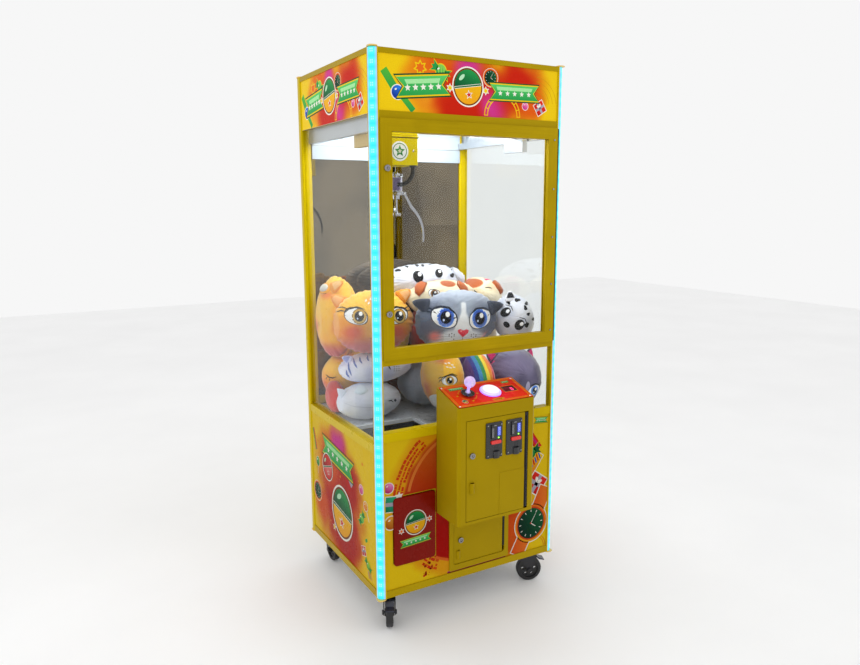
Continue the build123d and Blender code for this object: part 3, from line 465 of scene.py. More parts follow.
class Flat:
    """A flat 2-D drawing board: origin, right and up directions, and the way out."""

    def __init__(self, origin, right, up):
        self.o, self.r, self.u = Vector(origin), Vector(right).normalized(), Vector(up).normalized()
        self.n = self.r.cross(self.u).normalized()
        self.items = []

    def at(self, x, y, h=0.0):
        return self.o + (self.r * x + self.u * y + self.n * h) / 1000

    def add(self, pts, color, layer=1, color2=None, grad=(0, 1)):
        """A filled shape in mm; color2 fades the ink along the direction grad."""
        self.items.append((list(pts), color, layer, color2, grad))

    def clip(self, w, h):
        """Cut every shape off at the edges of a board w by h."""
        kept = []
        for pts, color, layer, color2, grad in self.items:
            for axis, limit, sign in ((0, 0.0, 1), (0, w, -1), (1, 0.0, 1), (1, h, -1)):
                out = []
                for i, p in enumerate(pts):
                    q = pts[i - 1]
                    dp, dq = sign * (p[axis] - limit), sign * (q[axis] - limit)
                    if (dp >= 0) != (dq >= 0):
                        t = dq / (dq - dp)
                        out.append((q[0] + (p[0] - q[0]) * t, q[1] + (p[1] - q[1]) * t))
                    if dp >= 0:
                        out.append(p)
                pts = out
            if len(pts) > 2:
                kept.append((pts, color, layer, color2, grad))
        self.items = kept

    def build(self, name, mat, body, base=0.05, step=0.12, slot=None, thick=True):
        bm = bmesh.new()
        ink = bm.loops.layers.color.new("Ink")
        for pts, color, layer, color2, grad in self.items:
            h = base + layer * step
            top = [bm.verts.new(self.at(x, y, h)) for x, y in pts]
            try:
                f = bm.faces.new(top)
            except ValueError:
                continue
            f.normal_update()
            if f.normal.dot(self.n) < 0:
                f.normal_flip()
            if color2 is not None:
                g = [x * grad[0] + y * grad[1] for x, y in pts]
                g0, g1 = min(g), max(g)
            lookup = {v: (pts[i]) for i, v in enumerate(top)}
            for lp in f.loops:
                c = color
                if color2 is not None:
                    x, y = lookup[lp.vert]
                    t = (x * grad[0] + y * grad[1] - g0) / max(1e-6, g1 - g0)
                    c = tuple(a + (b2 - a) * t for a, b2 in zip(color, color2))
                lp[ink] = (*c, 1)
        bmesh.ops.triangulate(bm, faces=[f for f in bm.faces if len(f.verts) > 4], ngon_method="EAR_CLIP")
        o = from_bm(name, bm, mat, smooth=False)
        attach(o, body)
        return o


# vertex colours are stored as linear in the byte layer's own way, so inks are given in sRGB
def srgb(r, g, b):
    return (r / 255, g / 255, b / 255)


def circle(cx, cy, r, n=40, ry=None, rot=0.0):
    ry = r if ry is None else ry
    c, s = math.cos(rot), math.sin(rot)
    out = []
    for i in range(n):
        a = 2 * math.pi * i / n
        x, y = r * math.cos(a), ry * math.sin(a)
        out.append((cx + x * c - y * s, cy + x * s + y * c))
    return out


def ring_pts(cx, cy, r0, r1, a0=0.0, a1=2 * math.pi, n=36):
    outer = [(cx + r1 * math.cos(a0 + (a1 - a0) * i / n), cy + r1 * math.sin(a0 + (a1 - a0) * i / n)) for i in range(n + 1)]
    inner = [(cx + r0 * math.cos(a0 + (a1 - a0) * i / n), cy + r0 * math.sin(a0 + (a1 - a0) * i / n)) for i in range(n, -1, -1)]
    return outer + inner


def star(cx, cy, r, k=5, inner=0.45, rot=math.pi / 2):
    return [(cx + (r if i % 2 == 0 else r * inner) * math.cos(rot + math.pi * i / k), cy + (r if i % 2 == 0 else r * inner) * math.sin(rot + math.pi * i / k)) for i in range(2 * k)]


def quad(cx, cy, w, h, rot=0.0):
    c, s = math.cos(rot), math.sin(rot)
    return [(cx + x * c - y * s, cy + x * s + y * c) for x, y in ((-w / 2, -h / 2), (w / 2, -h / 2), (w / 2, h / 2), (-w / 2, h / 2))]


def turned(pts, cx, cy, rot):
    c, s = math.cos(rot), math.sin(rot)
    return [(cx + x * c - y * s, cy + x * s + y * c) for x, y in pts]


RED, ORANGE, YEL, PINK = srgb(214, 34, 22), srgb(238, 110, 30), srgb(246, 208, 20), srgb(222, 60, 160)
GREEN, DGREEN, WHITE, BLUE = srgb(40, 160, 80), srgb(16, 80, 50), srgb(250, 248, 240), srgb(30, 90, 200)
AMBER, BLACK, SILVER = srgb(248, 170, 30), srgb(20, 20, 24), srgb(178, 172, 190)


def candy(f, cx, cy, r, rot, c1, c2, L=4):
    """A wrapped sweet: round middle, two frilled ends, pale outline."""
    def end(sgn, k, grow):
        pts = [(sgn * r * 0.7, -r * 0.35 - grow), (sgn * (r * 1.9 + grow), -r * 0.95 - grow), (sgn * r * 1.6, -r * 0.3), (sgn * (r * 2.0 + grow), 0), (sgn * r * 1.6, r * 0.3), (sgn * (r * 1.9 + grow), r * 0.95 + grow), (sgn * r * 0.7, r * 0.35 + grow)]
        f.add(turned(pts, cx, cy, rot), k, L if grow else L + 1)
    for s in (-1, 1):
        end(s, YEL, r * 0.16)
        end(s, c1, 0)
    f.add(circle(cx, cy, r * 1.16), YEL, L)
    f.add(circle(cx, cy, r), c1, L + 1, c2, (0.4, 1))
    for a in (-0.5, 0.1, 0.7):
        f.add(turned(circle(a * r * 0.9, 0, r * 0.10, 16, r * 0.72), cx, cy, rot + 0.5), c2, L + 2)
    f.add(turned(circle(-r * 0.3, r * 0.45, r * 0.26, 16, r * 0.14), cx, cy, 0.5), WHITE, L + 3)


def lollipop(f, cx, cy, r, rot, c1, c2, stick=2.6, L=4):
    f.add(turned(quad(0, -r * (1 + stick / 2), r * 0.22, r * stick), cx, cy, rot), WHITE, L)
    f.add(circle(cx, cy, r * 1.14), WHITE, L)
    f.add(circle(cx, cy, r), c1, L + 1, c2, (0.5, 1))
    for k in range(6):
        a = k * math.pi / 3 + rot
        arc = []
        for i in range(13):
            t = i / 12
            arc.append((cx + r * 0.95 * t * math.cos(a + 1.5 * t), cy + r * 0.95 * t * math.sin(a + 1.5 * t)))
        for i in range(12, -1, -1):
            t = i / 12
            arc.append((cx + r * 0.95 * t * math.cos(a + 1.5 * t + 0.42), cy + r * 0.95 * t * math.sin(a + 1.5 * t + 0.42)))
        f.add(arc[1:-1], c2, L + 2)
    f.add(circle(cx - r * 0.35, cy + r * 0.4, r * 0.2, 16, r * 0.12, 0.6), WHITE, L + 3)


def clock(f, cx, cy, r, L=4, strap=None):
    if strap:
        for k in strap:
            f.add(quad(cx + k[0], cy + k[1], k[2] + 8, k[3] + 6, k[4]), WHITE, L)
            f.add(quad(cx + k[0], cy + k[1], k[2], k[3], k[4]), srgb(226, 84, 28), L + 1, srgb(245, 130, 40), (1, 0))
    f.add(circle(cx, cy, r * 1.28), WHITE, L + 1)
    f.add(circle(cx, cy, r * 1.22), AMBER, L + 2, ORANGE, (0, 1))
    f.add(circle(cx, cy, r * 1.09), srgb(214, 70, 24), L + 3)
    f.add(circle(cx, cy, r), srgb(12, 44, 34), L + 4, srgb(20, 96, 58), (1, 0.4))
    for k in range(12):
        a = k * math.pi / 6
        f.add(quad(cx + r * 0.82 * math.cos(a), cy + r * 0.82 * math.sin(a), r * 0.14, r * 0.05, a), WHITE, L + 5)
    f.add(turned([(-0.02 * r, 0), (0.02 * r, 0), (0.012 * r, r * 0.72), (-0.012 * r, r * 0.72)], cx, cy, -0.55), WHITE, L + 6)
    f.add(turned([(-0.03 * r, 0), (0.03 * r, 0), (0.02 * r, r * 0.45), (-0.02 * r, r * 0.45)], cx, cy, -2.2), WHITE, L + 6)
    f.add(circle(cx, cy, r * 0.05, 16), RED, L + 7)


def gift(f, cx, cy, s, rot, L=4):
    f.add(quad(cx, cy, s * 1.12, s * 1.12, rot), WHITE, L)
    f.add(quad(cx, cy, s, s, rot), srgb(200, 24, 24), L + 1, srgb(235, 50, 36), (1, 1))
    f.add(quad(cx, cy, s * 0.22, s, rot), SILVER, L + 2)
    f.add(quad(cx, cy, s, s * 0.22, rot), SILVER, L + 2)
    for k in (0.8, 2.3):
        f.add(turned(circle(s * 0.16 * math.cos(k), s * 0.16 * math.sin(k) + s * 0.08, s * 0.16, 18, s * 0.09, k), cx, cy, rot), WHITE, L + 3)


def big_star(f, cx, cy, r, c1, c2, rot=0.0, L=4, face=False):
    a = math.pi / 2 + rot
    f.add(star(cx, cy, r * 1.24, 5, 0.52, a), WHITE, L)
    f.add(star(cx, cy, r * 1.12, 5, 0.50, a), srgb(150, 30, 18), L + 1)
    f.add(star(cx, cy, r, 5, 0.50, a), c1, L + 2, c2, (0.2, 1))
    f.add(star(cx, cy, r * 0.62, 5, 0.50, a), c2, L + 3, c1, (0.2, 1))
    f.add(circle(cx - r * 0.18, cy + r * 0.34, r * 0.16, 16, r * 0.07, 0.7), WHITE, L + 4)


def balloon(f, cx, cy, r, c1, c2, L=4):
    f.add([(cx - 1, cy - r * 1.1), (cx + 1, cy - r * 1.1), (cx + 3, cy - r * 2.0), (cx - 1, cy - r * 3.1), (cx - 3, cy - r * 3.1), (cx + 1, cy - r * 2.0)], WHITE, L)
    f.add(circle(cx, cy, r * 1.08, 30, r * 1.26), WHITE, L)
    f.add(circle(cx, cy, r, 30, r * 1.16), c1, L + 1, c2, (0.5, 1))
    f.add([(cx - r * 0.14, cy - r * 1.3), (cx + r * 0.14, cy - r * 1.3), (cx, cy - r * 1.1)], c1, L + 1)
    f.add(circle(cx - r * 0.35, cy + r * 0.45, r * 0.16, 16, r * 0.32, -0.4), WHITE, L + 2)


def ribbon(f, cx, cy, w, h, rot=0.0, L=4, c1=GREEN, c2=srgb(96, 214, 110)):
    """A plain swallow-tailed banner."""
    body = [(-w / 2, -h / 2), (w / 2, -h / 2), (w / 2 - h * 0.45, 0), (w / 2, h / 2), (-w / 2, h / 2), (-w / 2 + h * 0.45, 0)]
    def grown(g):
        return [(x + math.copysign(g, x), y + (g if y > 0 else -g if y < 0 else 0)) for x, y in body]
    f.add(turned(grown(h * 0.16), cx, cy, rot), DGREEN, L)
    f.add(turned(grown(h * 0.08), cx, cy, rot), YEL, L + 1)
    f.add(turned(body, cx, cy, rot), c1, L + 2, c2, (0, 1))
    f.add(turned([(-w / 2 + h * 0.6, h * 0.12), (w / 2 - h * 0.6, h * 0.12), (w / 2 - h * 0.5, h * 0.36), (-w / 2 + h * 0.5, h * 0.36)], cx, cy, rot), srgb(170, 240, 170), L + 3)
    for k in range(-2, 3):
        f.add(turned(star(k * w * 0.15, -h * 0.08, h * 0.2), cx, cy, rot), WHITE, L + 4)


def arch(f, cx, cy, r, L=3, c=AMBER, c2=YEL, ties=9):
    """A roller-coaster hoop of two rails and ties."""
    f.add(ring_pts(cx, cy, r * 0.80, r * 0.86, 0.0, math.pi, 30), c, L, c2, (0, 1))
    f.add(ring_pts(cx, cy, r * 0.96, r * 1.02, 0.0, math.pi, 30), c, L, c2, (0, 1))
    for k in range(ties + 1):
        a = math.pi * k / ties
        f.add(quad(cx + r * 0.91 * math.cos(a), cy + r * 0.91 * math.sin(a), r * 0.22, r * 0.035, a), c2, L + 1)


def wash(f, w, h, cells, seed, spots):
    """The printed ground: soft patches of colour between yellow, orange, red and pink."""
    nx, ny = cells
    rnd = random.Random(seed)
    def tone(x, y):
        c = np.array(YEL)
        for (sx, sy, sr, col) in spots:
            d = math.hypot((x - sx), (y - sy)) / sr
            d += 0.18 * noise.noise(Vector((x / 60, y / 60, seed)))
            t = max(0.0, min(1.0, 1.35 - d))
            t = t * t * (3 - 2 * t)
            c = c * (1 - t) + np.array(col) * t
        return tuple(float(v) for v in c)
    return tone


def ground(name, f, w, h, tone, mat, body, n=(60, 24), mask=None, lift=0.04):
    """A fine grid of ink with a colour per vertex. mask drops cells over openings."""
    verts, faces, cols = [], [], []
    nx, ny = n
    for j in range(ny + 1):
        for i in range(nx + 1):
            x, y = w * i / nx, h * j / ny
            verts.append(f.at(x, y, lift))
            cols.append(tone(x, y))
    for j in range(ny):
        for i in range(nx):
            x, y = w * (i + 0.5) / nx, h * (j + 0.5) / ny
            if mask and mask(x, y):
                continue
            a = j * (nx + 1) + i
            faces.append((a, a + 1, a + nx + 2, a + nx + 1))
    o = obj_from(name, verts, faces, mat)
    ca = o.data.color_attributes.new("Ink", "BYTE_COLOR", "CORNER")
    for p in o.data.polygons:
        for li in p.loop_indices:
            ca.data[li].color_srgb = (*cols[o.data.loops[li].vertex_index], 1)
    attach(o, body)
    return o


def capsule(f, cx, cy, r, L=10, rot=0.15, c1=AMBER, c2=YEL, g1=DGREEN, g2=GREEN):
    """A two-part toy capsule: amber cup, green cap, a seam between them, pale outline."""
    f.add(turned(circle(0, 0, r * 1.18, 48, r * 1.24), cx, cy, rot), WHITE, L)
    f.add(turned(circle(0, 0, r * 1.09, 48, r * 1.15), cx, cy, rot), srgb(120, 60, 10), L + 1)
    f.add(turned(circle(0, 0, r, 48, r * 1.06), cx, cy, rot), c1, L + 2, c2, (0, 1))
    lid = [(r * math.cos(t), r * 1.06 * math.sin(t)) for t in [0.10 + (math.pi - 0.20) * k / 24 for k in range(25)]]
    f.add(turned(lid, cx, cy, rot), g1, L + 3, g2, (0.3, 1))
    f.add(turned([(-r * 1.02, -r * 0.03), (r * 1.02, -r * 0.03), (r * 1.02, r * 0.12), (-r * 1.02, r * 0.12)], cx, cy, rot), WHITE, L + 4)
    f.add(turned([(-r * 1.0, r * 0.0), (r * 1.0, r * 0.0), (r * 1.0, r * 0.09), (-r * 1.0, r * 0.09)], cx, cy, rot), srgb(18, 110, 60), L + 5)
    f.add(turned(circle(-r * 0.38, r * 0.62, r * 0.26, 20, r * 0.12, 0.6), cx, cy, rot), srgb(190, 240, 200), L + 6)
    f.add(turned(star(0, -r * 0.48, r * 0.30), cx, cy, rot), WHITE, L + 6)
    f.add(turned(star(0, -r * 0.48, r * 0.20), cx, cy, rot), RED, L + 7)


def stripes(f, cx, cy, w, h, rot, cols, L=6):
    n = len(cols)
    for i, c in enumerate(cols):
        f.add(turned(quad(0, (i - (n - 1) / 2) * h / n, w, h / n), cx, cy, rot), c, L)


def ball(f, cx, cy, r, c1, c2, L=6):
    f.add(circle(cx, cy, r * 1.15), WHITE, L)
    f.add(circle(cx, cy, r), c1, L + 1, c2, (0.6, 1))
    f.add(ring_pts(cx, cy, r * 0.55, r * 0.72, 0.6, 2.6, 12), c2, L + 2)
    f.add(circle(cx - r * 0.3, cy + r * 0.42, r * 0.2, 16, r * 0.12, 0.5), WHITE, L + 3)


def panel_tone(kind, w, h):
    red, orange, pink = srgb(206, 36, 14), srgb(232, 96, 20), srgb(214, 58, 150)
    if kind != "header":
        red, orange = srgb(184, 22, 10), srgb(222, 84, 18)
    if kind == "header":
        spots = [(w * 0.30, h * 0.62, w * 0.17, orange), (w * 0.24, h * 0.40, w * 0.10, srgb(240, 150, 30)), (w * 0.52, h * 0.30, w * 0.20, red), (w * 0.47, h * 0.85, w * 0.08, pink), (w * 0.62, h * 0.22, w * 0.09, pink),
                 (w * 0.76, h * 0.60, w * 0.16, red), (w * 0.84, h * 0.30, w * 0.08, orange), (w * 0.40, h * 0.10, w * 0.12, red)]
    elif kind == "front":
        spots = [(w * 0.58, h * 0.30, w * 0.30, red), (w * 0.55, h * 0.02, w * 0.12, pink), (w * 0.80, h * 0.20, w * 0.12, orange)]
        base = wash(None, w, h, (1, 1), 5, spots)
        top, low, band = np.array(srgb(206, 88, 26)), np.array(srgb(180, 16, 8)), np.array(srgb(238, 166, 20))
        def tone(x, y):
            if x > 510:
                return base(x, y)
            d = math.hypot(x - 330, y - 300) + 9 * noise.noise(Vector((x / 40, y / 40, 5)))
            t = max(0.0, min(1.0, (y - 190) / 260))
            c = low * (1 - t) + top * t
            k = max(0.0, min(1.0, (d - 252) / 12))
            c = c * (1 - k) + band * k
            k = max(0.0, min(1.0, (d - 300) / 34))
            c = c * (1 - k) + np.array(YEL) * k
            return tuple(float(v) for v in c)
        return tone
    else:
        spots = [(w * 0.45, h * 0.35, w * 0.36, red), (w * 0.30, h * 0.70, w * 0.20, orange), (w * 0.45, h * 0.86, w * 0.14, pink), (w * 0.62, h * 0.62, w * 0.18, red), (w * 0.16, h * 0.25, w * 0.12, orange), (w * 0.58, h * 0.15, w * 0.2, red)]
    return wash(None, w, h, (1, 1), {"header": 3, "front": 5, "side": 8}[kind], spots)


def header_art(f, w, h, narrow=False):
    k = w / 706.0
    for i in range(5):
        f.add(ring_pts(w * 0.86, h * 0.30, 30 + 16 * i, 31.5 + 16 * i, 0.1, 1.5, 14), srgb(206, 150, 20), 1)
    f.add(turned(quad(0, 0, 26, 78), 34 * k + 8, 92, 0.62), GREEN, 2, srgb(90, 190, 60), (0, 1))
    f.add(turned(quad(0, 0, 20, 60), 104 * k, 26, 0.75), GREEN, 2, srgb(90, 190, 60), (0, 1))
    ball(f, 68 * k, 58, 21, srgb(20, 50, 150), srgb(50, 130, 240), 3)
    arch(f, 470 * k, 6, 74, 2)
    f.add(star(150 * k, 138, 26, 7, 0.6), YEL, 2)
    f.add(star(150 * k, 138, 18, 7, 0.6), ORANGE, 3)
    candy(f, 226 * k, 136, 19, -0.45, GREEN, srgb(150, 220, 90), 4)
    clock(f, 420 * k, 128, 24, 4)
    ball(f, 566 * k, 44, 12, srgb(200, 40, 130), srgb(250, 150, 200), 4)
    gift(f, 630 * k, 42, 40, 0.55, 4)
    ribbon(f, 160 * k, 84, 190 * k, 58, 0.10, 14)
    ribbon(f, 520 * k, 86, 200 * k, 48, 0.02, 14)
    capsule(f, 330 * k, 92, 52, 24)
    for sx in (-1, 1):
        f.add(star(330 * k + sx * 70, 84, 15, 6, 0.55), WHITE, 36)
        f.add(star(330 * k + sx * 70, 84, 10, 6, 0.55), YEL, 37)


def front_art(f):
    # coordinates in mm from the panel's lower left corner
    f.add([(0, 0)] + [(0, 120), (14, 126), (30, 96), (60, 60), (96, 22), (120, 0)], YEL, 1)
    rnd = random.Random(4)
    for r0, thick in ((262, 13), (277, 12), (291, 14)):
        for a0, a1 in ((2.24, 2.98), (4.02, 4.26)):
            a = a0 + 0.03 * rnd.random()
            while a < a1:
                da = 0.03 + 0.05 * rnd.random()
                if rnd.random() > 0.1:
                    ra = r0 + 2 * rnd.random()
                    f.add(ring_pts(330, 300, ra, ra + thick - 2 - 3 * rnd.random(), a, a + da * 0.86, 5), srgb(208 + 14 * rnd.random(), 52 + 30 * rnd.random(), 18), 3)
                a += da
    f.add(ring_pts(330, 300, 236, 247, 2.04, 2.93, 30), srgb(232, 128, 52), 2)
    f.add(ring_pts(330, 300, 252, 262, 4.19, 4.42, 12), srgb(232, 104, 40), 2)
    ball(f, 16, 378, 18, srgb(190, 30, 110), srgb(250, 150, 210), 5)
    f.add(quad(22, 318, 46, 60, -0.12), WHITE, 5)
    f.add(quad(22, 318, 40, 54, -0.12), srgb(20, 120, 90), 6, srgb(60, 190, 140), (1, 1))
    f.add(quad(22, 318, 40, 14, -0.12), SILVER, 7)
    f.add(star(56, 340, 18, 6, 0.5), WHITE, 8)
    ball(f, 24, 250, 24, srgb(180, 90, 20), srgb(240, 170, 60), 5)
    # right of the control box
    ribbon(f, 668, 522, 62, 20, -0.08, 5)
    stripes(f, 622, 462, 130, 34, -0.95, [srgb(190, 20, 20), srgb(226, 44, 30), srgb(214, 40, 130), srgb(226, 44, 30)], 6)
    f.add(ring_pts(570, 452, 16, 20, -1.2, 1.6, 12), WHITE, 8)
    candy(f, 622, 398, 24, 0.35, srgb(20, 100, 60), srgb(70, 170, 80), 9)
    f.add(quad(640, 352, 96, 44, 0.95), WHITE, 5)
    f.add(quad(640, 352, 90, 38, 0.95), ORANGE, 6, YEL, (1, 1))
    for i in range(5):
        f.add(quad(626 + i * 9, 356 + i * 7, 6, 34, 0.35), BLUE if i % 2 == 0 else RED, 7)
    gift(f, 652, 268, 74, -0.62, 8)
    arch(f, 650, 4, 52, 3, srgb(200, 90, 20), AMBER, 6)
    clock(f, 629, 110, 62, 18, strap=[(-46, -78, 62, 86, -0.5), (52, 96, 62, 90, -0.45)])
    # below the flap
    stripes(f, 380, 3, 260, 8, 0.0, [srgb(150, 20, 40), srgb(170, 24, 120)], 3)
    for i in range(16):
        f.add(circle(150 + 40 * rnd.random(), 8 + 56 * rnd.random(), 1.5 + 4 * rnd.random(), 7), srgb(208, 60, 20), 3)


def side_art(f, w, h):
    """Lower side panel, seen with the machine's front edge at right when on the left side."""
    for i in range(24):
        rnd = random.Random(i)
        f.add(circle(w * (0.12 + 0.76 * rnd.random()), h * (0.1 + 0.8 * rnd.random()), 2 + 5 * rnd.random(), 8), srgb(240, 130 + 60 * rnd.random(), 30), 1)
    stripes(f, w * 0.60, h * 0.70, 110, 84, -0.7, [srgb(196, 20, 20), SILVER, srgb(196, 20, 20)], 2)
    stripes(f, w * 0.05, h * 0.78, 90, 20, 1.9, [srgb(226, 70, 60), srgb(90, 170, 60)], 3)
    ribbon(f, w * 0.44, h * 0.76, 300, 66, -0.10, 14)
    capsule(f, w * 0.27, h * 0.62, 46, 24, 0.3, srgb(214, 40, 40), srgb(250, 180, 170), srgb(150, 16, 24), srgb(226, 60, 50))
    capsule(f, w * 0.50, h * 0.34, 88, 34, -0.12)
    clock(f, w * 0.06 + 10, h * 0.34, 34, 4)
    ball(f, w * 0.80, h * 0.66, 17, srgb(200, 40, 120), srgb(250, 160, 200), 6)
    lollipop(f, w * 0.86, h * 0.56, 17, 0.5, srgb(214, 40, 30), srgb(250, 190, 60), 2.4, 10)
    candy(f, w * 0.80, h * 0.44, 18, 0.9, GREEN, srgb(150, 220, 90), 6)
    f.add(quad(w * 0.86, h * 0.30, 26, 18, 0.6), YEL, 4)
    f.add(quad(w * 0.86, h * 0.30, 20, 12, 0.6), GREEN, 5)
    gift(f, w * 0.82, h * 0.20, 34, 0.3, 6)
    candy(f, w * 0.88, h * 0.12, 16, -0.6, GREEN, srgb(170, 220, 60), 16)
    balloon(f, w * 0.08 + 8, h * 0.60, 17, srgb(40, 120, 50), srgb(120, 200, 90), 5)
    f.add(star(w * 0.36, h * 0.16, 18), WHITE, 6)
    f.add(star(w * 0.36, h * 0.16, 13), YEL, 7)
    for i in range(4):
        f.add(quad(w * 0.90 + i * 7 - 10, h * 0.05, 3, 26, 0.3), (BLUE, RED, GREEN, PINK)[i], 5)


STEP = 0.03
# header panels
f = Flat(P(27, 5, 1658), (1, 0, 0), (0, 0, 1))
ground("header_ground_front", f, 706, 171, panel_tone("header", 706, 171), M["ink_lit"], "cabinet", (120, 30))
header_art(f, 706, 171)
f.clip(706, 171)
f.build("header_art_front", M["ink_lit"], "cabinet", step=STEP, slot="printed_panel")
for side, org, right in (("left", P(5, 640, 1650), (0, -1, 0)), ("right", P(755, 27, 1650), (0, 1, 0))):
    f = Flat(org, right, (0, 0, 1))
    ground(f"header_ground_{side}", f, 613, 179, panel_tone("header", 613, 179), M["ink_lit"], "cabinet", (100, 30))
    header_art(f, 613, 175, True)
    f.clip(613, 179)
    f.build(f"header_art_{side}", M["ink_lit"], "cabinet", step=STEP, slot="printed_panel")
# lower front panel
f = Flat(P(27, 5, 31), (1, 0, 0), (0, 0, 1))
hole = lambda x, y: (28 < x < 202 and 82 < y < 341) or (226 < x < 500 and 270 < y < 532) or (258 < x < 518 and 8 < y < 247)
ground("front_ground", f, 706, 543, panel_tone("front", 706, 543), M["ink"], "cabinet", (150, 116), hole)
front_art(f)
f.clip(706, 543)
f.build("front_art", M["ink"], "cabinet", step=STEP, slot="printed_panel")
for side, org, right in (("left", P(4, 640, 31), (0, -1, 0)), ("right", P(756, 27, 31), (0, 1, 0))):
    f = Flat(org, right, (0, 0, 1))
    ground(f"side_ground_{side}", f, 613, 501, panel_tone("side", 613, 501), M["ink"], "cabinet", (110, 90))
    side_art(f, 613, 501)
    f.clip(613, 501)
    f.build(f"side_art_{side}", M["ink"], "cabinet", step=STEP, slot="printed_panel")
# flap print
f = Flat(P(59, -2, 116), (1, 0, 0), (0, 0, 1))
capsule(f, 84, 150, 38, 4, 0.1)
for sx in (-1, 1):
    f.add(star(84 + sx * 56, 140 + sx * 12, 13, 6, 0.5), WHITE, 6)
    f.add(star(84 + sx * 56, 140 + sx * 12, 8, 6, 0.5), ORANGE, 7)
ribbon(f, 84, 82, 120, 24, 0.06, 14)
f.build("flap_print", M["ink"], "prize_door", step=STEP, slot="red_flap")

# --------------------------------------------------------- CAD node materials
look = {
    "corner_posts": "post", "led_lenses": "lens", "post_caps": "cap", "top_rails": "gold", "cross_rails": "gold", "sill_rails": "post",
    "base_rails": "gold", "side_panels": "gold", "front_panel": "gold", "rear_and_roof_panels": "gold", "marquee_panels": "white",
    "ceiling_liner": "ceiling_glow", "window_panes": "glass", "rear_mirror": "mirror", "prize_deck": "deck_white", "chute_guard": "acrylic",
    "chute_duct": "dark", "control_box": "yellow", "control_panel_plate": "red_flap", "credit_display": "black_plastic", "button_bezel": "white",
    "gantry_side_rails": "steel", "light_tubes": "tube", "power_inlet": "black_plastic", "caster_mounts": "black_metal", "cash_box": "galv",
    "floor_pan": "galv", "piano_hinges": "black_hinge", "cash_door_frame": "yellow", "door_frame": "gold_x", "door_glass": "glass",
    "door_hardware": "lock_chrome", "coin_door": "yellow", "coin_mechs": "black_plastic", "coin_door_hardware": "lock_chrome",
    "coin_return_button_left": "red_button", "coin_return_button_right": "red_button", "cash_door": "yellow", "cash_door_lock": "lock_chrome",
    "prize_door": "red_flap", "joystick_gimbal": "black_plastic", "joystick_lever": "chrome", "drop_button": "white", "bridge_beam": "tan",
    "trolley_housing": "trolley", "curly_cable": "rubber", "hoist_line": "steel", "claw_body": "chrome", "claw_finger_1": "chrome",
    "claw_finger_2": "chrome", "claw_finger_3": "chrome", "caster_fork_left": "black_metal", "caster_fork_right": "black_metal",
    "caster_wheel_front_left": "rubber", "caster_wheel_front_right": "rubber", "caster_wheel_rear_left": "rubber", "caster_wheel_rear_right": "rubber",
    "caster_brake_left": "blue_plastic", "caster_brake_right": "blue_plastic", "plush_prizes": "white",
}
for name, key in look.items():
    o = nodes[name]
    o.data.materials.clear()
    o.data.materials.append(M[key])
# the beam's right end truck is bare, the left one carries the cover colour
bb = nodes["bridge_beam"]
bb.data.materials.append(M["steel"])
for p in bb.data.polygons:
    if p.center.x > 0.290:
        p.material_index = 1
# the door's uprights take the hairline along Z
df = nodes["door_frame"]
df.data.materials.append(M["gold_z"])
lo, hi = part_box("door_frame")
for p in df.data.polygons:
    c = p.center
    dx = min(c.x - lo.x, hi.x - c.x)
    dz = min(c.z - lo.z, hi.z - c.z)
    p.material_index = 1 if dx < dz else 0

# ---------------------------------------------------------------- control deck
XD, YD, ZD = Vector((1, 0, 0)), Vector((0, math.cos(SLOPE), math.sin(SLOPE))), Vector((0, -math.sin(SLOPE), math.cos(SLOPE)))
DM = P(390, -71, 698 + 21.5)


def deck(u, v, w=0.0):
    return DM + (XD * u + YD * v + ZD * w) / 1000


f = Flat(deck(-154, -71, 2), XD, YD)
red1, red2 = srgb(232, 44, 14), srgb(236, 30, 70)


def deck_tone(x, y):
    t = max(0, min(1, 1.1 - math.hypot((x - 170) / 120, (y - 60) / 80)))
    base = np.array(srgb(226, 60, 16)) * (1 - t) + np.array(red2) * t
    s = max(0, min(1, (x - 250) / 60))
    base = base * (1 - s) + np.array(srgb(222, 40, 30)) * s
    return tuple(float(v) for v in base)


deck_mask = lambda x, y: math.hypot(x - 76, y - 71) < 13 or math.hypot(x - 171, y - 71) < 31 or (abs(x - 250) < 25.5 and abs(y - 71) < 17.5)
ground("deck_film", f, 308, 142, deck_tone, M["ink_deck"], "cabinet", (154, 71), deck_mask)


def frame_line(f, x0, y0, x1, y1, t, c, L):
    for a, b, cc, d in ((x0, y0, x1, y0 + t), (x0, y1 - t, x1, y1), (x0, y0, x0 + t, y1), (x1 - t, y0, x1, y1)):
        f.add([(a, b), (cc, b), (cc, d), (a, d)], c, L)


frame_line(f, 4, 4, 304, 138, 1.6, srgb(250, 190, 40), 2)
frame_line(f, 9, 9, 299, 133, 1.2, srgb(250, 210, 60), 3)
frame_line(f, 222, 50.5, 278, 91.5, 1.4, srgb(246, 190, 60), 4)
ribbon(f, 56, 116, 62, 13, 0.0, 6)
capsule(f, 44, 32, 9, 8)
f.add(circle(266, 113, 7, 18), AMBER, 5)
ribbon(f, 262, 116, 34, 10, 0.05, 8)
f.add(ring_pts(76, 71, 32, 33.4, 0.3, 1.2, 10), YEL, 4)
f.add(ring_pts(76, 71, 32, 33.4, 1.9, 2.8, 10), YEL, 4)
f.add(ring_pts(76, 71, 32, 33.4, 3.5, 4.4, 10), YEL, 4)
f.add(ring_pts(76, 71, 32, 33.4, 5.0, 5.9, 10), YEL, 4)
for a in range(4):
    f.add(turned([(38, -5), (38, 5), (45, 0)], 76, 71, a * math.pi / 2), YEL, 4)
f.add(circle(171, 18, 25, 30, 6.5), srgb(250, 200, 60), 4)
f.add(circle(171, 18, 22, 30, 4.6), srgb(214, 60, 20), 5)
for k in range(-2, 3):
    f.add(star(171 + k * 8, 18, 3.0), YEL, 6)
f.build("deck_print", M["ink"], "cabinet", step=STEP, slot="red_deck")
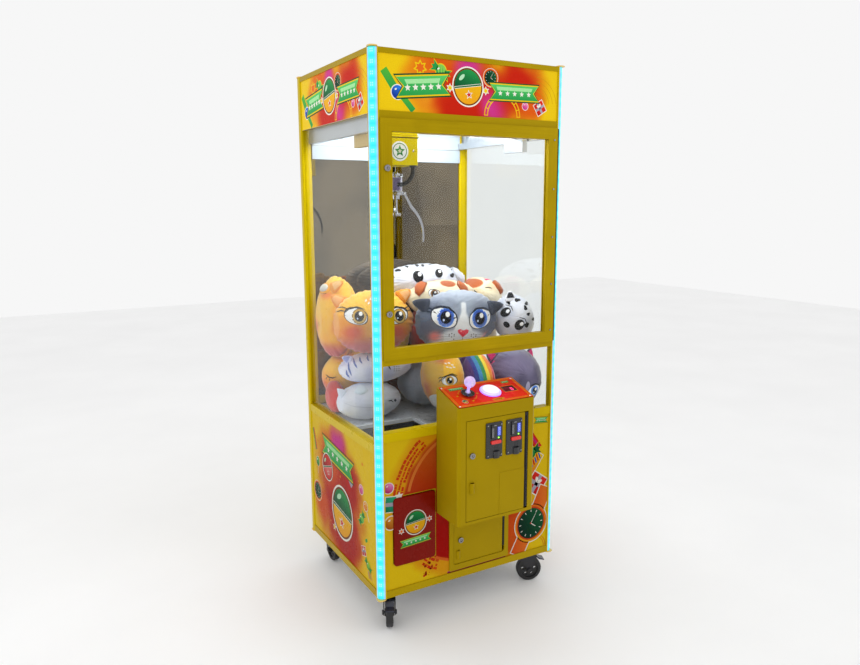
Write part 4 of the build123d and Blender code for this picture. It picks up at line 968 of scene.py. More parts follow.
for su in (-146, 146):
    for sv in (-63, 63):
        s = lathe(f"deck_screw_{'l' if su < 0 else 'r'}{'f' if sv < 0 else 'b'}", [(0, 3.1), (1.0, 3.1), (1.3, 2.6), (2.4, 3.0), (3.6, 2.5), (4.0, 2.05)], deck(su, sv), ZD, M["chrome"], 24)
        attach(s, "cabinet")

# joystick: clear ball lit from below, cored shaft, dust disc
m, nt, b = nodes_of("crystal_ball")
n = noise_tex(nt, coords(nt), 120.0, 3)
nt.links.new(ramp(nt, n, [(0.3, (0.70, 0.58, 0.92)), (0.7, (0.96, 0.90, 1.0))]), b.inputs["Base Color"])
b.inputs["Transmission Weight"].default_value = 0.55
b.inputs["Roughness"].default_value = 0.08
b.inputs["IOR"].default_value = 1.48
b.inputs["Emission Color"].default_value = (0.50, 0.42, 1.0, 1)
b.inputs["Emission Strength"].default_value = 0.14
M["crystal"] = m
M["core"] = emitter("violet_core", (0.35, 0.22, 1.0), 1.6)
SO = deck(-78, 0, 0)
ballr = 20.0
prof = [(5.4, 33.8)]
for i in range(1, 25):
    a = math.acos(max(-1, min(1, (33.8 - 53) / 20))) * (1 - i / 24)
    prof.append((ballr * math.sin(a), 53 + ballr * math.cos(a)))
prof[-1] = (0, 73)
stick = lathe("joystick_ball", [(0, 33.0), (4.6, 33.0)] + prof, SO, ZD, M["crystal"], 56)
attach(stick, "joystick_lever"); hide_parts("joystick_lever")
o = lathe("joystick_stem", [(0, 12.6), (9.5, 12.6), (9.2, 14.6), (6.6, 17.6), (5.6, 22), (5.2, 30), (5.6, 33.9), (0, 33.9)], SO, ZD, M["crystal"], 40)
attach(o, "joystick_lever")
o = lathe("joystick_core", [(0, 14), (2.0, 14), (2.2, 36), (3.4, 40), (3.0, 46), (1.2, 50), (0, 50)], SO, ZD, M["core"], 24)
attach(o, "joystick_lever")
o = lathe("joystick_disc", [(4.2, 10.2), (23.6, 10.0), (24.4, 10.4), (24.4, 11.2), (22, 11.8), (12, 12.7), (5, 12.9), (4.2, 12.9), (4.2, 10.2)], SO, ZD, M["black_plastic"], 56)
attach(o, "joystick_lever")
o = lathe("joystick_shaft", [(0, -52), (3.2, -52), (4, -51), (4, 13.5), (0, 13.5)], SO, ZD, M["chrome"], 24)
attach(o, "joystick_lever")
o = lathe("joystick_pin", [(0, -11.4), (2.2, -11.4), (2.5, -11), (2.5, 11), (2.2, 11.4), (0, 11.4)], deck(-78, 0, -30), YD, M["chrome"], 16)
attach(o, "joystick_lever")

# lit dome button
m, nt, b = nodes_of("lit_dome")
tc = nt.nodes.new("ShaderNodeTexCoord")
mp = nt.nodes.new("ShaderNodeMapping")
mp.inputs["Location"].default_value = tuple(-v for v in deck(17, 0, 10))
nt.links.new(tc.outputs["Object"], mp.inputs["Vector"])
ln = nt.nodes.new("ShaderNodeVectorMath"); ln.operation = "LENGTH"
nt.links.new(mp.outputs["Vector"], ln.inputs[0])
nt.links.new(ramp(nt, rng(nt, ln.outputs["Value"], 0, 1, 0.008, 0.036), [(0.0, (1.0, 0.84, 0.55)), (0.30, (1.0, 0.93, 0.86)), (0.62, (0.88, 0.90, 1.0)), (0.85, (0.52, 0.42, 1.0)), (1.0, (0.26, 0.12, 1.0))]), b.inputs["Emission Color"])
b.inputs["Base Color"].default_value = (0.9, 0.88, 0.95, 1)
nz = noise_tex(nt, coords(nt), 90.0, 2)
nt.links.new(ramp(nt, nz, [(0.2, (0.40, 0.38, 0.46)), (0.8, (0.48, 0.46, 0.54))]), b.inputs["Base Color"])
b.inputs["Emission Strength"].default_value = 0.85
b.inputs["Roughness"].default_value = 0.18
b.inputs["Coat Weight"].default_value = 0.5
M["dome"] = m
BO = deck(17, 0, 0)
dome_r = (32.4 ** 2 + 10.5 ** 2) / 21.0
arc = [(x, 21 - dome_r + math.sqrt(dome_r ** 2 - x * x)) for x in [32.2 * (1 - i / 14) for i in range(15)]]
arc[-1] = (0, 21)
o = lathe("button_dome", [(0, -22), (24.6, -22), (25.3, -21), (25.3, 7.6), (31.6, 7.6), (32.3, 8.2), (32.3, 9.9)] + arc, BO, ZD, M["dome"], 64)
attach(o, "drop_button"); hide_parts("drop_button")
M["violet_rim"] = emitter("violet_rim", (0.26, 0.10, 1.0), 1.3, base=(0.4, 0.3, 0.8))
o = lathe("button_halo", [(33.4, 6.6), (36.2, 7.1), (38.4, 5.2), (38.7, 2.4), (38.2, 2.1)], BO, ZD, M["violet_rim"], 64)
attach(o, "cabinet")

# credit display: dark window with three figures
f = Flat(deck(96 - 21, -12, -0.2), XD, YD)
for d in range(3):
    ox = 3.5 + d * 12.5
    segs = {"a": (5, 19, 7, 1.8, 0), "g": (5, 11.5, 7, 1.8, 0), "d": (5, 4, 7, 1.8, 0), "f": (1.4, 15.3, 1.8, 6.4, 0), "b": (8.6, 15.3, 1.8, 6.4, 0), "e": (1.4, 7.7, 1.8, 6.4, 0), "c": (8.6, 7.7, 1.8, 6.4, 0)}
    for k, (sx, sy, sw, sh, _) in segs.items():
        f.add(quad(ox + sx, sy, sw, sh), (0.25, 0.01, 0.04) if (k == "g" or d < 2) else (1, 1, 1), 3)
lit = [it for it in f.items if it[1] == (1, 1, 1)]
f.items = [it for it in f.items if it[1] != (1, 1, 1)]
f.build("display_dim_figures", M["ink"], "cabinet", step=STEP, slot="display_plastic")
f.items = lit
f.build("display_lit_figure", M["digit"], "cabinet", step=STEP, slot="display_plastic")
M["display_red"] = emitter("display_window", (0.35, 0.0, 0.03), 0.35, base=(0.10, 0.002, 0.01))
f = Flat(deck(96 - 21, -12, -0.2), XD, YD)
f.add([(0, 0), (42, 0), (42, 24), (0, 24)], (0.2, 0, 0.02), 1)
f.build("display_window", M["display_red"], "cabinet", step=STEP, slot="display_plastic")

# --------------------------------------------------------------- coin door
for tag, x0 in (("left", 341.0), ("right", 425.0)):
    o = brick(f"lcd_{tag}", P(x0 + 46, -148.0, 584), P(x0 + 60.5, -146.5, 616), M["lcd_blue"], 0.0003)
    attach(o, "coin_door")
    f = Flat(P(x0 + 46, -148.0, 584), (1, 0, 0), (0, 0, 1))
    for i in range(4):
        y = 4.5 + i * 7.6
        for (sx, sy, sw, sh) in ((4, y, 0.9, 4.6), (10.5, y, 0.9, 4.6), (7.2, y - 2.6, 6, 0.9), (7.2, y + 2.6, 6, 0.9)):
            f.add(quad(sx, sy, sw, sh), (0.5, 0.6, 1), 3)
    f.build(f"lcd_figures_{tag}", M["lcd_line"], "coin_door", step=STEP, slot="black_mech")
    o = lathe(f"mech_led_{tag}", [(2.2, 0), (2.0, 0.9), (1.2, 1.5), (0, 1.7)], P(x0 + 51, -147, 577), (0, -1, 0), M["led_green"], 20)
    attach(o, "coin_door")
    for dx in (22.7, 26.6):
        o = brick(f"coin_lip_{tag}_{'a' if dx < 24 else 'b'}", P(x0 + dx, -151.7, 582), P(x0 + dx + 1.2, -150.9, 614), M["chrome"], 0.0002)
        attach(o, "coin_door")
    # ribs and recess around the reject cup
    for k in range(3):
        o = brick(f"cup_rib_{tag}_{k}", P(x0 + 34 + k * 7, -147.7, 532), P(x0 + 35.4 + k * 7, -146.8, 550), M["black_plastic"], 0.0002)
        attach(o, "coin_door")
    o = brick(f"mech_brow_{tag}", P(x0 + 25, -148.2, 620.5), P(x0 + 42, -146.8, 622.5), M["galv"], 0.0003)
    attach(o, "coin_door")


def lock_face(name, pos, body, r=10.0):
    o = lathe(name, [(r * 1.02, 0.1), (r * 1.06, 0.8), (r * 1.0, 1.8), (r * 0.78, 2.4), (r * 0.66, 2.0), (r * 0.60, 1.4), (r * 0.58, 0.4)], pos, (0, -1, 0), M["lock_chrome"], 40)
    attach(o, body)
    # the key slot is a thin black slab: painted shade in the hole
    o = brick(name + "_key", pos + Vector((-0.0008, -0.0008, -0.0036)), pos + Vector((0.0008, 0.0003, 0.0036)), M["dark"], 0.0001)
    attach(o, body)


lock_face("coin_lock_ring", P(286, -148, 528), "coin_door")
lock_face("cash_lock_ring", P(331, -3, 152), "cash_door")
lock_face("door_lock_ring_upper", P(48, -13, 1481), "front_door")
lock_face("door_lock_ring_lower", P(48, -13, 1014), "front_door")

# hinge knuckles along the long hinges
def knuckles(name, x, y, z0, z1, r, pitch, body):
    bm = bmesh.new()
    z = z0
    while z + pitch * 0.86 < z1:
        c = P(x, y, z + pitch * 0.43)
        bmesh.ops.create_cone(bm, cap_ends=True, segments=12, radius1=r / 1000, radius2=r / 1000, depth=pitch * 0.86 / 1000, matrix=Matrix.Translation(c))
        z += pitch
    o = from_bm(name, bm, M["black_hinge"], True)
    sharpen(o, 40)
    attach(o, body)


knuckles("door_hinge_knuckles", 736, -3.6, 862, 1630, 1.9, 24, "cabinet")
knuckles("coin_hinge_knuckles", 514, -143.2, 300, 646, 2.2, 20, "cabinet")
knuckles("cash_hinge_knuckles", 523.4, 0.9, 86, 242, 1.8, 16, "cabinet")


# ------------------------------------------------------- gantry, claw and cable
M["winding"] = surface("coil_sleeve", (0.16, 0.13, 0.26), 0.30, 0.0, 0.25, 120, 1500, 0.2, coat=0.4)
M["ivory"] = surface("ivory_collar", (0.62, 0.60, 0.66), 0.35, 0.0, 0.05, 60, 900, 0.04, coat=0.2)
M["claw_chrome"] = surface("claw_chrome", (0.40, 0.40, 0.43), 0.13, 1.0, 0.12, 40, 900, 0.05, rough_vary=0.05)
for _n in ("claw_body", "claw_finger_1", "claw_finger_2", "claw_finger_3"):
    nodes[_n].data.materials[0] = M["claw_chrome"]
# the liner's upright flange stands in the shade of the lamps' own housings
M["flange"] = surface("liner_flange", (0.40, 0.46, 0.52), 0.46, 0.0, 0.04, 5, 500, 0.003)
cl = nodes["ceiling_liner"]
cl.data.materials.append(M["flange"])
for p in cl.data.polygons:
    if abs(p.normal.y) > 0.5:
        p.material_index = 1
bd = Vector((0, -1, 0))
BADGE = P(149, 100, 1543)
o = lathe("trolley_badge", [(0, 0.9), (31.0, 0.9), (32.2, 0.6), (32.4, 0.05)], BADGE, bd, M["white"], 64)
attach(o, "trolley")
f = Flat(BADGE, (1, 0, 0), (0, 0, 1))
f.add(ring_pts(0, 0, 24.0, 26.5), srgb(60, 150, 80), 11)
f.add(star(0, 0, 20, 5, 0.46), srgb(50, 150, 76), 11, srgb(110, 200, 110), (0, 1))
f.add(star(0, 0, 9, 5, 0.46), WHITE, 13)
f.build("trolley_badge_print", M["ink"], "trolley", step=0.1)
for (sx, sz) in ((200.5, 1545), (100, 1612), (214, 1612)):
    o = lathe(f"trolley_screw_{sx}_{sz}", [(0, 1.6), (1.0, 1.6), (1.3, 1.2), (2.6, 1.8), (3.4, 1.2), (3.7, 0.05)], P(sx, 100, sz), bd, M["chrome"], 24)
    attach(o, "trolley")
o = brick("trolley_lid_lip", P(91.8, 98.6, 1589), P(222.2, 100.2, 1593), M["trolley"], 0.0004)
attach(o, "trolley")
o = brick("trolley_lid_shadow", P(93.2, 99.7, 1586.4), P(220.8, 100.1, 1588.8), M["dark"], 0)
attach(o, "trolley")
o = lathe("trolley_cable_gland", [(8.0, 0), (12.5, 0), (12.5, 4), (10.5, 5), (10.2, 9), (8.6, 10), (8.0, 9.6), (8.0, 0)], P(206, 114, 1498), (0, 0, -1), M["black_plastic"], 32)
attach(o, "trolley")

# solenoid sleeve, its rims and the nuts of the claw body
AX = P(160, 155, 0)


def on_axis(name, prof, mat, body="claw", seg=56):
    o = lathe(name, prof, AX, (0, 0, 1), mat, seg)
    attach(o, body)
    return o


ribs = [(21.6, 1414)]
z = 1415.0
while z < 1457:
    ribs += [(22.6, z), (23.0, z + 0.7), (22.6, z + 1.4), (22.35, z + 1.7)]
    z += 2.0
ribs.append((21.6, 1459))
on_axis("solenoid_sleeve", ribs, M["winding"])
on_axis("solenoid_rim_low", [(21.8, 1411), (24.4, 1411.2), (24.8, 1412), (24.4, 1413.4), (21.8, 1413.8)], M["chrome"])
on_axis("solenoid_rim_high", [(21.8, 1459.2), (24.6, 1459.6), (25.0, 1461), (24.4, 1462.4), (21.0, 1462.8)], M["chrome"])
on_axis("claw_collar", [(9.5, 1463), (12.5, 1463), (13.0, 1464), (12.4, 1470), (9.0, 1471)], M["ivory"])
for k in range(3):
    a = math.radians(120 * k)
    c = P(160 + 30 * math.cos(a), 155 + 30 * math.sin(a), 1405)
    tdir = Vector((-math.sin(a), math.cos(a), 0))
    for s in (-1, 1):
        o = lathe(f"pivot_rivet_{k + 1}_{'a' if s < 0 else 'b'}", [(0, 2.4), (1.6, 2.1), (2.9, 1.2), (3.3, 0.0), (0, 0)], c + tdir * (s * 0.0078), tdir * s, M["chrome"], 24)
        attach(o, "claw")


def chaikin(pts, n=4):
    for _ in range(n):
        out = [pts[0]]
        for a, b in zip(pts, pts[1:]):
            out += [a * 0.75 + b * 0.25, a * 0.25 + b * 0.75]
        out.append(pts[-1])
        pts = out
    return pts


def resample(pts, n):
    d = np.concatenate([[0], np.cumsum([(b - a).length for a, b in zip(pts, pts[1:])])])
    t = np.linspace(0, d[-1], n)
    P3 = np.array([p[:] for p in pts])
    return [Vector([float(np.interp(v, d, P3[:, k])) for k in range(3)]) for v in t], float(d[-1])


def tube(name, path, r, mat, seg=8):
    """A round tube swept along points in metres with a twist-free frame."""
    V, Fc = [], []
    t0 = (path[1] - path[0]).normalized()
    n = t0.orthogonal().normalized()
    for i, p in enumerate(path):
        t = (path[min(i + 1, len(path) - 1)] - path[max(i - 1, 0)]).normalized()
        n = (n - t * n.dot(t)).normalized()
        b = t.cross(n)
        for k in range(seg):
            a = 2 * math.pi * k / seg
            V.append(p + (n * math.cos(a) + b * math.sin(a)) * (r / 1000))
    for i in range(len(path) - 1):
        for k in range(seg):
            q = i * seg
            Fc.append((q + k, q + (k + 1) % seg, q + seg + (k + 1) % seg, q + seg + k))
    Fc.append(tuple(reversed(range(seg))))
    Fc.append(tuple(range((len(path) - 1) * seg, len(path) * seg)))
    return obj_from(name, V, Fc, mat, True)


route = [P(206, 114, 1496), P(206, 113, 1480), P(199, 108, 1461), P(183, 102, 1445), P(169, 103, 1437), P(161, 112, 1434), P(160, 127, 1434)]
centre, total = resample(chaikin(route, 4), 400)
turns, per, rad = 23, 16, 5.9
n_pts = turns * per
helix = []
t0 = (centre[1] - centre[0]).normalized()
nv = t0.orthogonal().normalized()
frames = []
for i, p in enumerate(centre):
    t = (centre[min(i + 1, 399)] - centre[max(i - 1, 0)]).normalized()
    nv = (nv - t * nv.dot(t)).normalized()
    frames.append((p, nv.copy(), t.cross(nv)))
for i in range(n_pts + 1):
    s = 0.04 + 0.92 * i / n_pts
    k = min(398, int(s * 399))
    fr = s * 399 - k
    p = frames[k][0].lerp(frames[k + 1][0], fr)
    nn = frames[k][1].lerp(frames[k + 1][1], fr).normalized()
    bb = frames[k][2].lerp(frames[k + 1][2], fr).normalized()
    a = 2 * math.pi * i / per
    ease = min(1.0, i / 10, (n_pts - i) / 10)
    helix.append(p + (nn * math.cos(a) + bb * math.sin(a)) * (rad * ease / 1000))
path = [centre[0]] + helix + [centre[-1]]
ends = list(range(1, 15)) + list(range(len(path) - 15, len(path) - 1))
for _ in range(40):
    for i in ends:
        path[i] = path[i] * 0.5 + (path[i - 1] + path[i + 1]) * 0.25
coil = tube("coiled_cable", path, 1.35, M["rubber"], 8)
coil_len = sum((b - a).length for a, b in zip(path, path[1:]))
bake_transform(coil)
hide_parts("curly_cable")
tuple(path[0])
[tuple(p) for p in path]

# black hinge leaf and its screws on the inside of the door
o = brick("door_inner_leaf", P(706, 16.1, 866), P(730, 18.0, 1628), M["black_hinge"], 0.0004)
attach(o, "front_door")
zz, k = 886, 0
while zz < 1620:
    for xx in (711, 724):
        s = lathe(f"leaf_screw_{k}_{xx}", [(0, 1.6), (1.2, 1.6), (2.8, 1.2), (3.3, 0.0)], P(xx, 18.0, zz), (0, 1, 0), M["chrome"], 16)
        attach(s, "front_door")
    zz += 68
    k += 1

# ceiling seams
for k, yy in enumerate((180, 470)):
    o = brick(f"ceiling_seam_{k}", P(34, yy, 1687.2), P(726, yy + 2.2, 1688.1), M["galv"], 0)
    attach(o, "cabinet")
for k, zz in enumerate((1596, 1652)):
    o = brick(f"rear_flange_bead_{k}", P(42, 636.6, zz), P(718, 638.2, zz + 3.0), M["galv"], 0.0004)
    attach(o, "cabinet")


# ------------------------------------------------------------------ plush toys
PLUSH = {
    "white_seal": ((138, 365, 624), (121, 80, 66)), "red_cushion": ((49, 487, 621), (32, 59, 60)), "striped_cub": ((186, 400, 744), (141, 85, 56)),
    "orange_low": ((160, 574, 680), (119, 74, 97)), "fawn_low": ((359, 181, 724), (56, 116, 115)), "rainbow": ((478, 137, 690), (48, 114, 122)),
    "violet_cat": ((644, 120, 703), (99, 103, 109)), "grey_low": ((395, 411, 650), (85, 113, 79)), "white_low": ((600, 420, 645), (108, 140, 84)),
    "brown_low": ((400, 582, 640), (82, 50, 68)), "blue_low": ((600, 600, 650), (110, 36, 80)), "fawn_big": ((172, 381, 925), (155, 87, 114)),
    "fawn_rear": ((97, 559, 922), (80, 85, 153)), "yellow_mid": ((301, 525, 848), (85, 93, 105)), "red_mid": ((457, 460, 848), (75, 122, 94)),
    "grey_mid": ((639, 441, 835), (90, 150, 95)), "kitten": ((458, 237, 929), (171, 67, 107)), "spotted_right": ((686, 186, 925), (57, 103, 86)),
    "pup": ((456, 354, 1003), (148, 59, 65)), "spotted_top": ((449, 498, 1052), (190, 89, 70)), "pup_right": ((672, 407, 995), (72, 110, 68)),
}
NAMES = list(PLUSH)
CEN = np.array([PLUSH[n][0] for n in NAMES], float)
HALF = np.array([PLUSH[n][1] for n in NAMES], float)
SWELL = 1.085


def fabric(name, sheen=0.55, nap=700.0, nap_bump=0.35):
    """Short-pile plush: printed colour, a fine nap in the bump, sheen at grazing angles."""
    m, nt, b = nodes_of(name)
    at = nt.nodes.new("ShaderNodeVertexColor")
    at.layer_name = "Ink"
    pile = noise_tex(nt, coords(nt), nap, 3, 0.65)
    drift = noise_tex(nt, coords(nt), 26.0, 4, 0.6)
    mix = math_node(nt, "ADD", math_node(nt, "MULTIPLY", pile, 0.55), math_node(nt, "MULTIPLY", drift, 0.45))
    mx = nt.nodes.new("ShaderNodeMix")
    mx.data_type = "RGBA"
    mx.blend_type = "MULTIPLY"
    mx.inputs[0].default_value = 1.0
    nt.links.new(at.outputs["Color"], mx.inputs[6])
    nt.links.new(ramp(nt, mix, [(0.32, (0.84, 0.84, 0.85)), (0.62, (1.0, 1.0, 1.0))]), mx.inputs[7])
    nt.links.new(mx.outputs[2], b.inputs["Base Color"])
    nt.links.new(rng(nt, drift, 0.72, 0.90, 0.3, 0.7), b.inputs["Roughness"])
    b.inputs["Sheen Weight"].default_value = sheen
    b.inputs["Sheen Roughness"].default_value = 0.45
    b.inputs["Specular IOR Level"].default_value = 0.25
    bump(nt, b, mix, nap_bump, 0.0012)
    return m


M["plush"] = fabric("plush_pile")
M["plush_print"] = fabric("plush_print", 0.35, 900.0, 0.22)


def contact(i, d, top):
    """How far along each ray d from toy i's centre it reaches before it meets a neighbour."""
    t = np.full(len(d), float(top))
    acc = np.zeros(len(d))
    k = 46.0
    for j in range(len(NAMES)):
        if j == i:
            continue
        e = (CEN[i] - CEN[j]) / HALF[j]
        if np.linalg.norm(CEN[i] - CEN[j]) > HALF[i].max() + HALF[j].max() + 60:
            continue
        q = d / HALF[j]
        a = (q * q).sum(1) - 1.0
        b = 2 * (q @ e)
        c = float(e @ e)
        disc = b * b - 4 * a * c
        ok = disc > 0
        root = np.sqrt(np.where(ok, disc, 0))
        with np.errstate(divide="ignore", invalid="ignore"):
            r1 = (-b - root) / (2 * a)
            r2 = (-b + root) / (2 * a)
        r1 = np.where(ok & (r1 > 1e-4), r1, 9.0)
        r2 = np.where(ok & (r2 > 1e-4), r2, 9.0)
        acc += np.exp(-k * (np.minimum(r1, r2) * 0.985 - 1.0))
    acc += np.exp(-k * (t - 1.0))
    return 1.0 - np.log(acc) / k


def keep_in(p):
    """Keeps cloth inside the prize space and off the chute guard."""
    p = p.copy()
    p[:, 0] = np.clip(p[:, 0], 16.5, 743.5)
    p[:, 1] = np.clip(p[:, 1], 17.0, 647.5)
    p[:, 2] = np.clip(p[:, 2], 556.5, 1500)
    inside = (p[:, 0] < 285.5) & (p[:, 1] < 265.5) & (p[:, 2] < 962)
    dx, dy = 285.5 - p[:, 0], 265.5 - p[:, 1]
    p[inside & (dx <= dy), 0] = 285.5
    p[inside & (dx > dy), 1] = 265.5
    return p


def frame_of(f, up):
    f = Vector(f).normalized()
    r = (-f).cross(Vector(up)).normalized()
    return f, r, r.cross(-f).normalized()


TO_CAB = np.array([X0, Y0, Z0])


class Toy:
    def __init__(self, name, f, up, tone, rings=34, seg=84, pucker=1.0, sim=True):
        self.name, self.i = name, NAMES.index(name)
        self.f, self.r, self.u = frame_of(f, up)
        self.c, self.h = CEN[self.i], HALF[self.i]
        self.tone = tone
        self.decals = []
        F, R, U = (np.array(v) for v in (self.f, self.r, self.u))
        dirs = [F]
        ph = [0.0]
        th = [0.0]
        for a in range(1, rings):
            phi = math.pi * a / rings
            phi = math.pi / 2 + (phi - math.pi / 2) * (1 - 0.10 * math.cos(2 * (phi - math.pi / 2)) + 0.10 * (-1) * -1)
            phi = min(max(phi, 0.02), math.pi - 0.02)
            for b in range(seg):
                theta = 2 * math.pi * b / seg
                dirs.append(math.cos(phi) * F + math.sin(phi) * (math.cos(theta) * R + math.sin(theta) * U))
                ph.append(phi)
                th.append(theta)
        dirs.append(-F)
        ph.append(math.pi)
        th.append(0.0)
        dirs, ph, th = np.array(dirs), np.array(ph), np.array(th)
        d = dirs * self.h
        seed = self.i * 7.3
        lump = np.array([noise.noise(Vector(v * 2.2) + Vector((seed, 0, 0))) for v in dirs])
        fold = np.array([noise.noise(Vector((v[0] * 1.3, v[1] * 1.3, v[2] * 1.3)) * 4.0 + Vector((0, seed, 0))) for v in dirs])
        wob = np.array([noise.noise(Vector((math.cos(t) * 3, math.sin(t) * 3, seed))) for t in th])
        s = np.abs(ph - math.pi / 2)
        near = np.exp(-(s / 0.50) ** 2)
        n = 30 + (self.i * 5) % 13
        gather = (np.sin(n * th + 4 * wob) * 0.6 + np.sin((n * 1.62) * th + 7 * wob) * 0.4) * near * np.clip(s / 0.10, 0, 1)
        shape = 1 + 0.022 * lump - 0.020 * np.clip(1 - np.abs(fold) / 0.12, 0, 1) * (1 - 0.7 * near) - 0.075 * np.exp(-(s / 0.06) ** 2) + 0.030 * pucker * gather
        t = np.minimum(contact(self.i, d, SWELL), SWELL) * shape
        p = keep_in(self.c + d * t[:, None])
        faces = []
        for b in range(seg):
            faces.append((0, 1 + b, 1 + (b + 1) % seg))
        for a in range(rings - 2):
            for b in range(seg):
                k0 = 1 + a * seg
                faces.append((k0 + b, k0 + seg + b, k0 + seg + (b + 1) % seg, k0 + (b + 1) % seg))
        last = len(p) - 1
        k0 = 1 + (rings - 2) * seg
        for b in range(seg):
            faces.append((k0 + b, last, k0 + (b + 1) % seg))
        self.o = obj_from("toy_" + name, (p + TO_CAB) / 1000, faces, M["plush"], True)
        fix_normals(self.o)
        self.seam = [1 + (rings // 2 - 1) * seg + b for b in range(seg)]
        if sim:
            self.swell_cloth()
        self.finish_mesh()

    def swell_cloth(self):
        o = self.o
        rest = np.array([v.co[:] for v in o.data.vertices])
        g = o.vertex_groups.new(name="pin")
        g.add(self.seam, 1.0, "REPLACE")
        m = o.modifiers.new("cloth", "CLOTH")
        s = m.settings
        s.quality = 4
        s.mass = 0.25
        s.use_pressure = True
        s.uniform_pressure_force = 4.0
        s.effector_weights.gravity = 0.0
        s.vertex_group_mass = "pin"
        s.pin_stiffness = 0.6
        s.tension_stiffness = 12
        s.compression_stiffness = 12
        s.shear_stiffness = 4
        s.bending_stiffness = 0.6
        s.shrink_min = -0.035
        m.collision_settings.use_collision = False
        m.collision_settings.use_self_collision = False
        m.point_cache.frame_start, m.point_cache.frame_end = 1, 16
        sc = bpy.context.scene
        for fr in range(1, 15):
            sc.frame_set(fr)
        dg = bpy.context.evaluated_depsgraph_get()
        ev = o.evaluated_get(dg).to_mesh()
        new = np.array([v.co[:] for v in ev.vertices])
        o.evaluated_get(dg).to_mesh_clear()
        o.modifiers.clear()
        o.vertex_groups.clear()
        sc.frame_set(1)
        if new.shape == rest.shape and np.isfinite(new).all():
            move = new - rest
            ln = np.linalg.norm(move, axis=1)
            cap = 0.009
            k = np.where(ln > cap, cap / np.maximum(ln, 1e-9), 1.0)
            p = (rest + move * k[:, None]) * 1000 - TO_CAB
            d = p - self.c
            ti = np.linalg.norm(d / self.h, axis=1)
            ray = d / np.maximum(ti, 1e-6)[:, None]
            lim = contact(self.i, ray, SWELL * 1.03)
            p = keep_in(self.c + ray * np.minimum(ti, lim)[:, None])
            for v, q in zip(o.data.vertices, (p + TO_CAB) / 1000):
                v.co = q

    def finish_mesh(self):
        o = self.o
        m = o.modifiers.new("smooth", "SUBSURF")
        m.levels = m.render_levels = 1
        dg = bpy.context.evaluated_depsgraph_get()
        me = bpy.data.meshes.new_from_object(o.evaluated_get(dg))
        old = o.data
        o.modifiers.clear()
        o.data = me
        bpy.data.meshes.remove(old)
        me.name = o.name
        for p in me.polygons:
            p.use_smooth = True
        me.materials.clear()
        me.materials.append(M["plush"])
        pts = np.array([v.co[:] for v in me.vertices]) * 1000 - TO_CAB - self.c
        xyz = np.stack([pts @ np.array(self.r), pts @ np.array(self.u), pts @ np.array(self.f)], 1)
        cols = np.array([self.tone(x, y, z) for x, y, z in xyz])
        # painted shade: the colour darkens by up to 30% along the seam, where the cloth creases in
        ds = np.abs(np.array([math.acos(max(-1, min(1, v))) for v in (pts / self.h @ np.array(self.f)) / np.maximum(np.linalg.norm(pts / self.h, axis=1), 1e-6)]) - math.pi / 2)
        cols = cols * (1 - 0.30 * np.exp(-(ds / 0.022) ** 2))[:, None]
        ca = me.color_attributes.new("Ink", "BYTE_COLOR", "POINT")
        ca.data.foreach_set("color_srgb", np.concatenate([np.clip(cols, 0, 1), np.ones((len(cols), 1))], 1).ravel())
        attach(o, "cabinet")
        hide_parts("plush_prizes")
        self.bvh = BVHTree.FromPolygons([v.co.copy() for v in me.vertices], [tuple(p.vertices) for p in me.polygons])

    def on(self, x, y, lift):
        """The point of the toy's surface seen at (x, y) mm from its front, lifted off it."""
        c = Vector((self.c + TO_CAB) / 1000)
        start = c + (self.r * x + self.u * y + self.f * 420) / 1000
        hit, nrm, _, _ = self.bvh.ray_cast(start, -self.f)
        if hit is None:
            q = c + (self.r * x + self.u * y) / 1000
            hit, nrm, _, _ = self.bvh.find_nearest(q)
        if nrm.dot(hit - c) < 0:
            nrm = -nrm
        return hit + nrm * (lift / 1000)

    def blob(self, pts, color, layer=1, c2=None, grad=(0, 1), rings=5, puff=0.0):
        self.decals.append(("blob", pts, color, layer, c2, grad, rings, puff))

    def stroke(self, pts, w, color, layer=3):
        self.decals.append(("stroke", pts, color, layer, None, None, 0, w))

    def build(self):
        if not self.decals:
            return
        V, Fc, C = [], [], []
        for kind, pts, color, layer, c2, grad, rings, ex in self.decals:
            base = 0.45 + layer * 0.13
            if kind == "blob":
                cx = sum(p[0] for p in pts) / len(pts)
                cy = sum(p[1] for p in pts) / len(pts)
                if c2 is not None:
                    gs = [p[0] * grad[0] + p[1] * grad[1] for p in pts]
                    g0, g1 = min(gs), max(gs)
                    def col(x, y):
                        t = (x * grad[0] + y * grad[1] - g0) / max(1e-6, g1 - g0)
                        return tuple(a + (b - a) * t for a, b in zip(color, c2))
                else:
                    def col(x, y):
                        return color
                k0 = len(V)
                V.append(self.on(cx, cy, base + ex))
                C.append(col(cx, cy))
                n = len(pts)
                K = max(2, min(16, int(max(math.hypot(x - cx, y - cy) for x, y in pts) / 3.2)))
                for k in range(1, K + 1):
                    s = k / K
                    for x, y in pts:
                        X, Y = cx + (x - cx) * s, cy + (y - cy) * s
                        h = ex * math.sqrt(max(0.0, 1 - s ** 4)) if ex else 0
                        V.append(self.on(X, Y, (base if not (ex and k == K) else 0.1) + h))
                        C.append(col(X, Y))
                for b in range(n):
                    Fc.append((k0, k0 + 1 + b, k0 + 1 + (b + 1) % n))
                for k in range(K - 1):
                    q = k0 + 1 + k * n
                    for b in range(n):
                        Fc.append((q + b, q + n + b, q + n + (b + 1) % n, q + (b + 1) % n))
            else:
                fine = []
                for (ax, ay), (bx, by) in zip(pts, pts[1:]):
                    m = max(1, int(math.hypot(bx - ax, by - ay) / 4))
                    for q in range(m):
                        fine.append((ax + (bx - ax) * q / m, ay + (by - ay) * q / m))
                fine.append(pts[-1])
                k0 = len(V)
                n = len(fine)
                for q, (x, y) in enumerate(fine):
                    a, b = fine[max(0, q - 1)], fine[min(n - 1, q + 1)]
                    dx, dy = b[0] - a[0], b[1] - a[1]
                    L = math.hypot(dx, dy) or 1
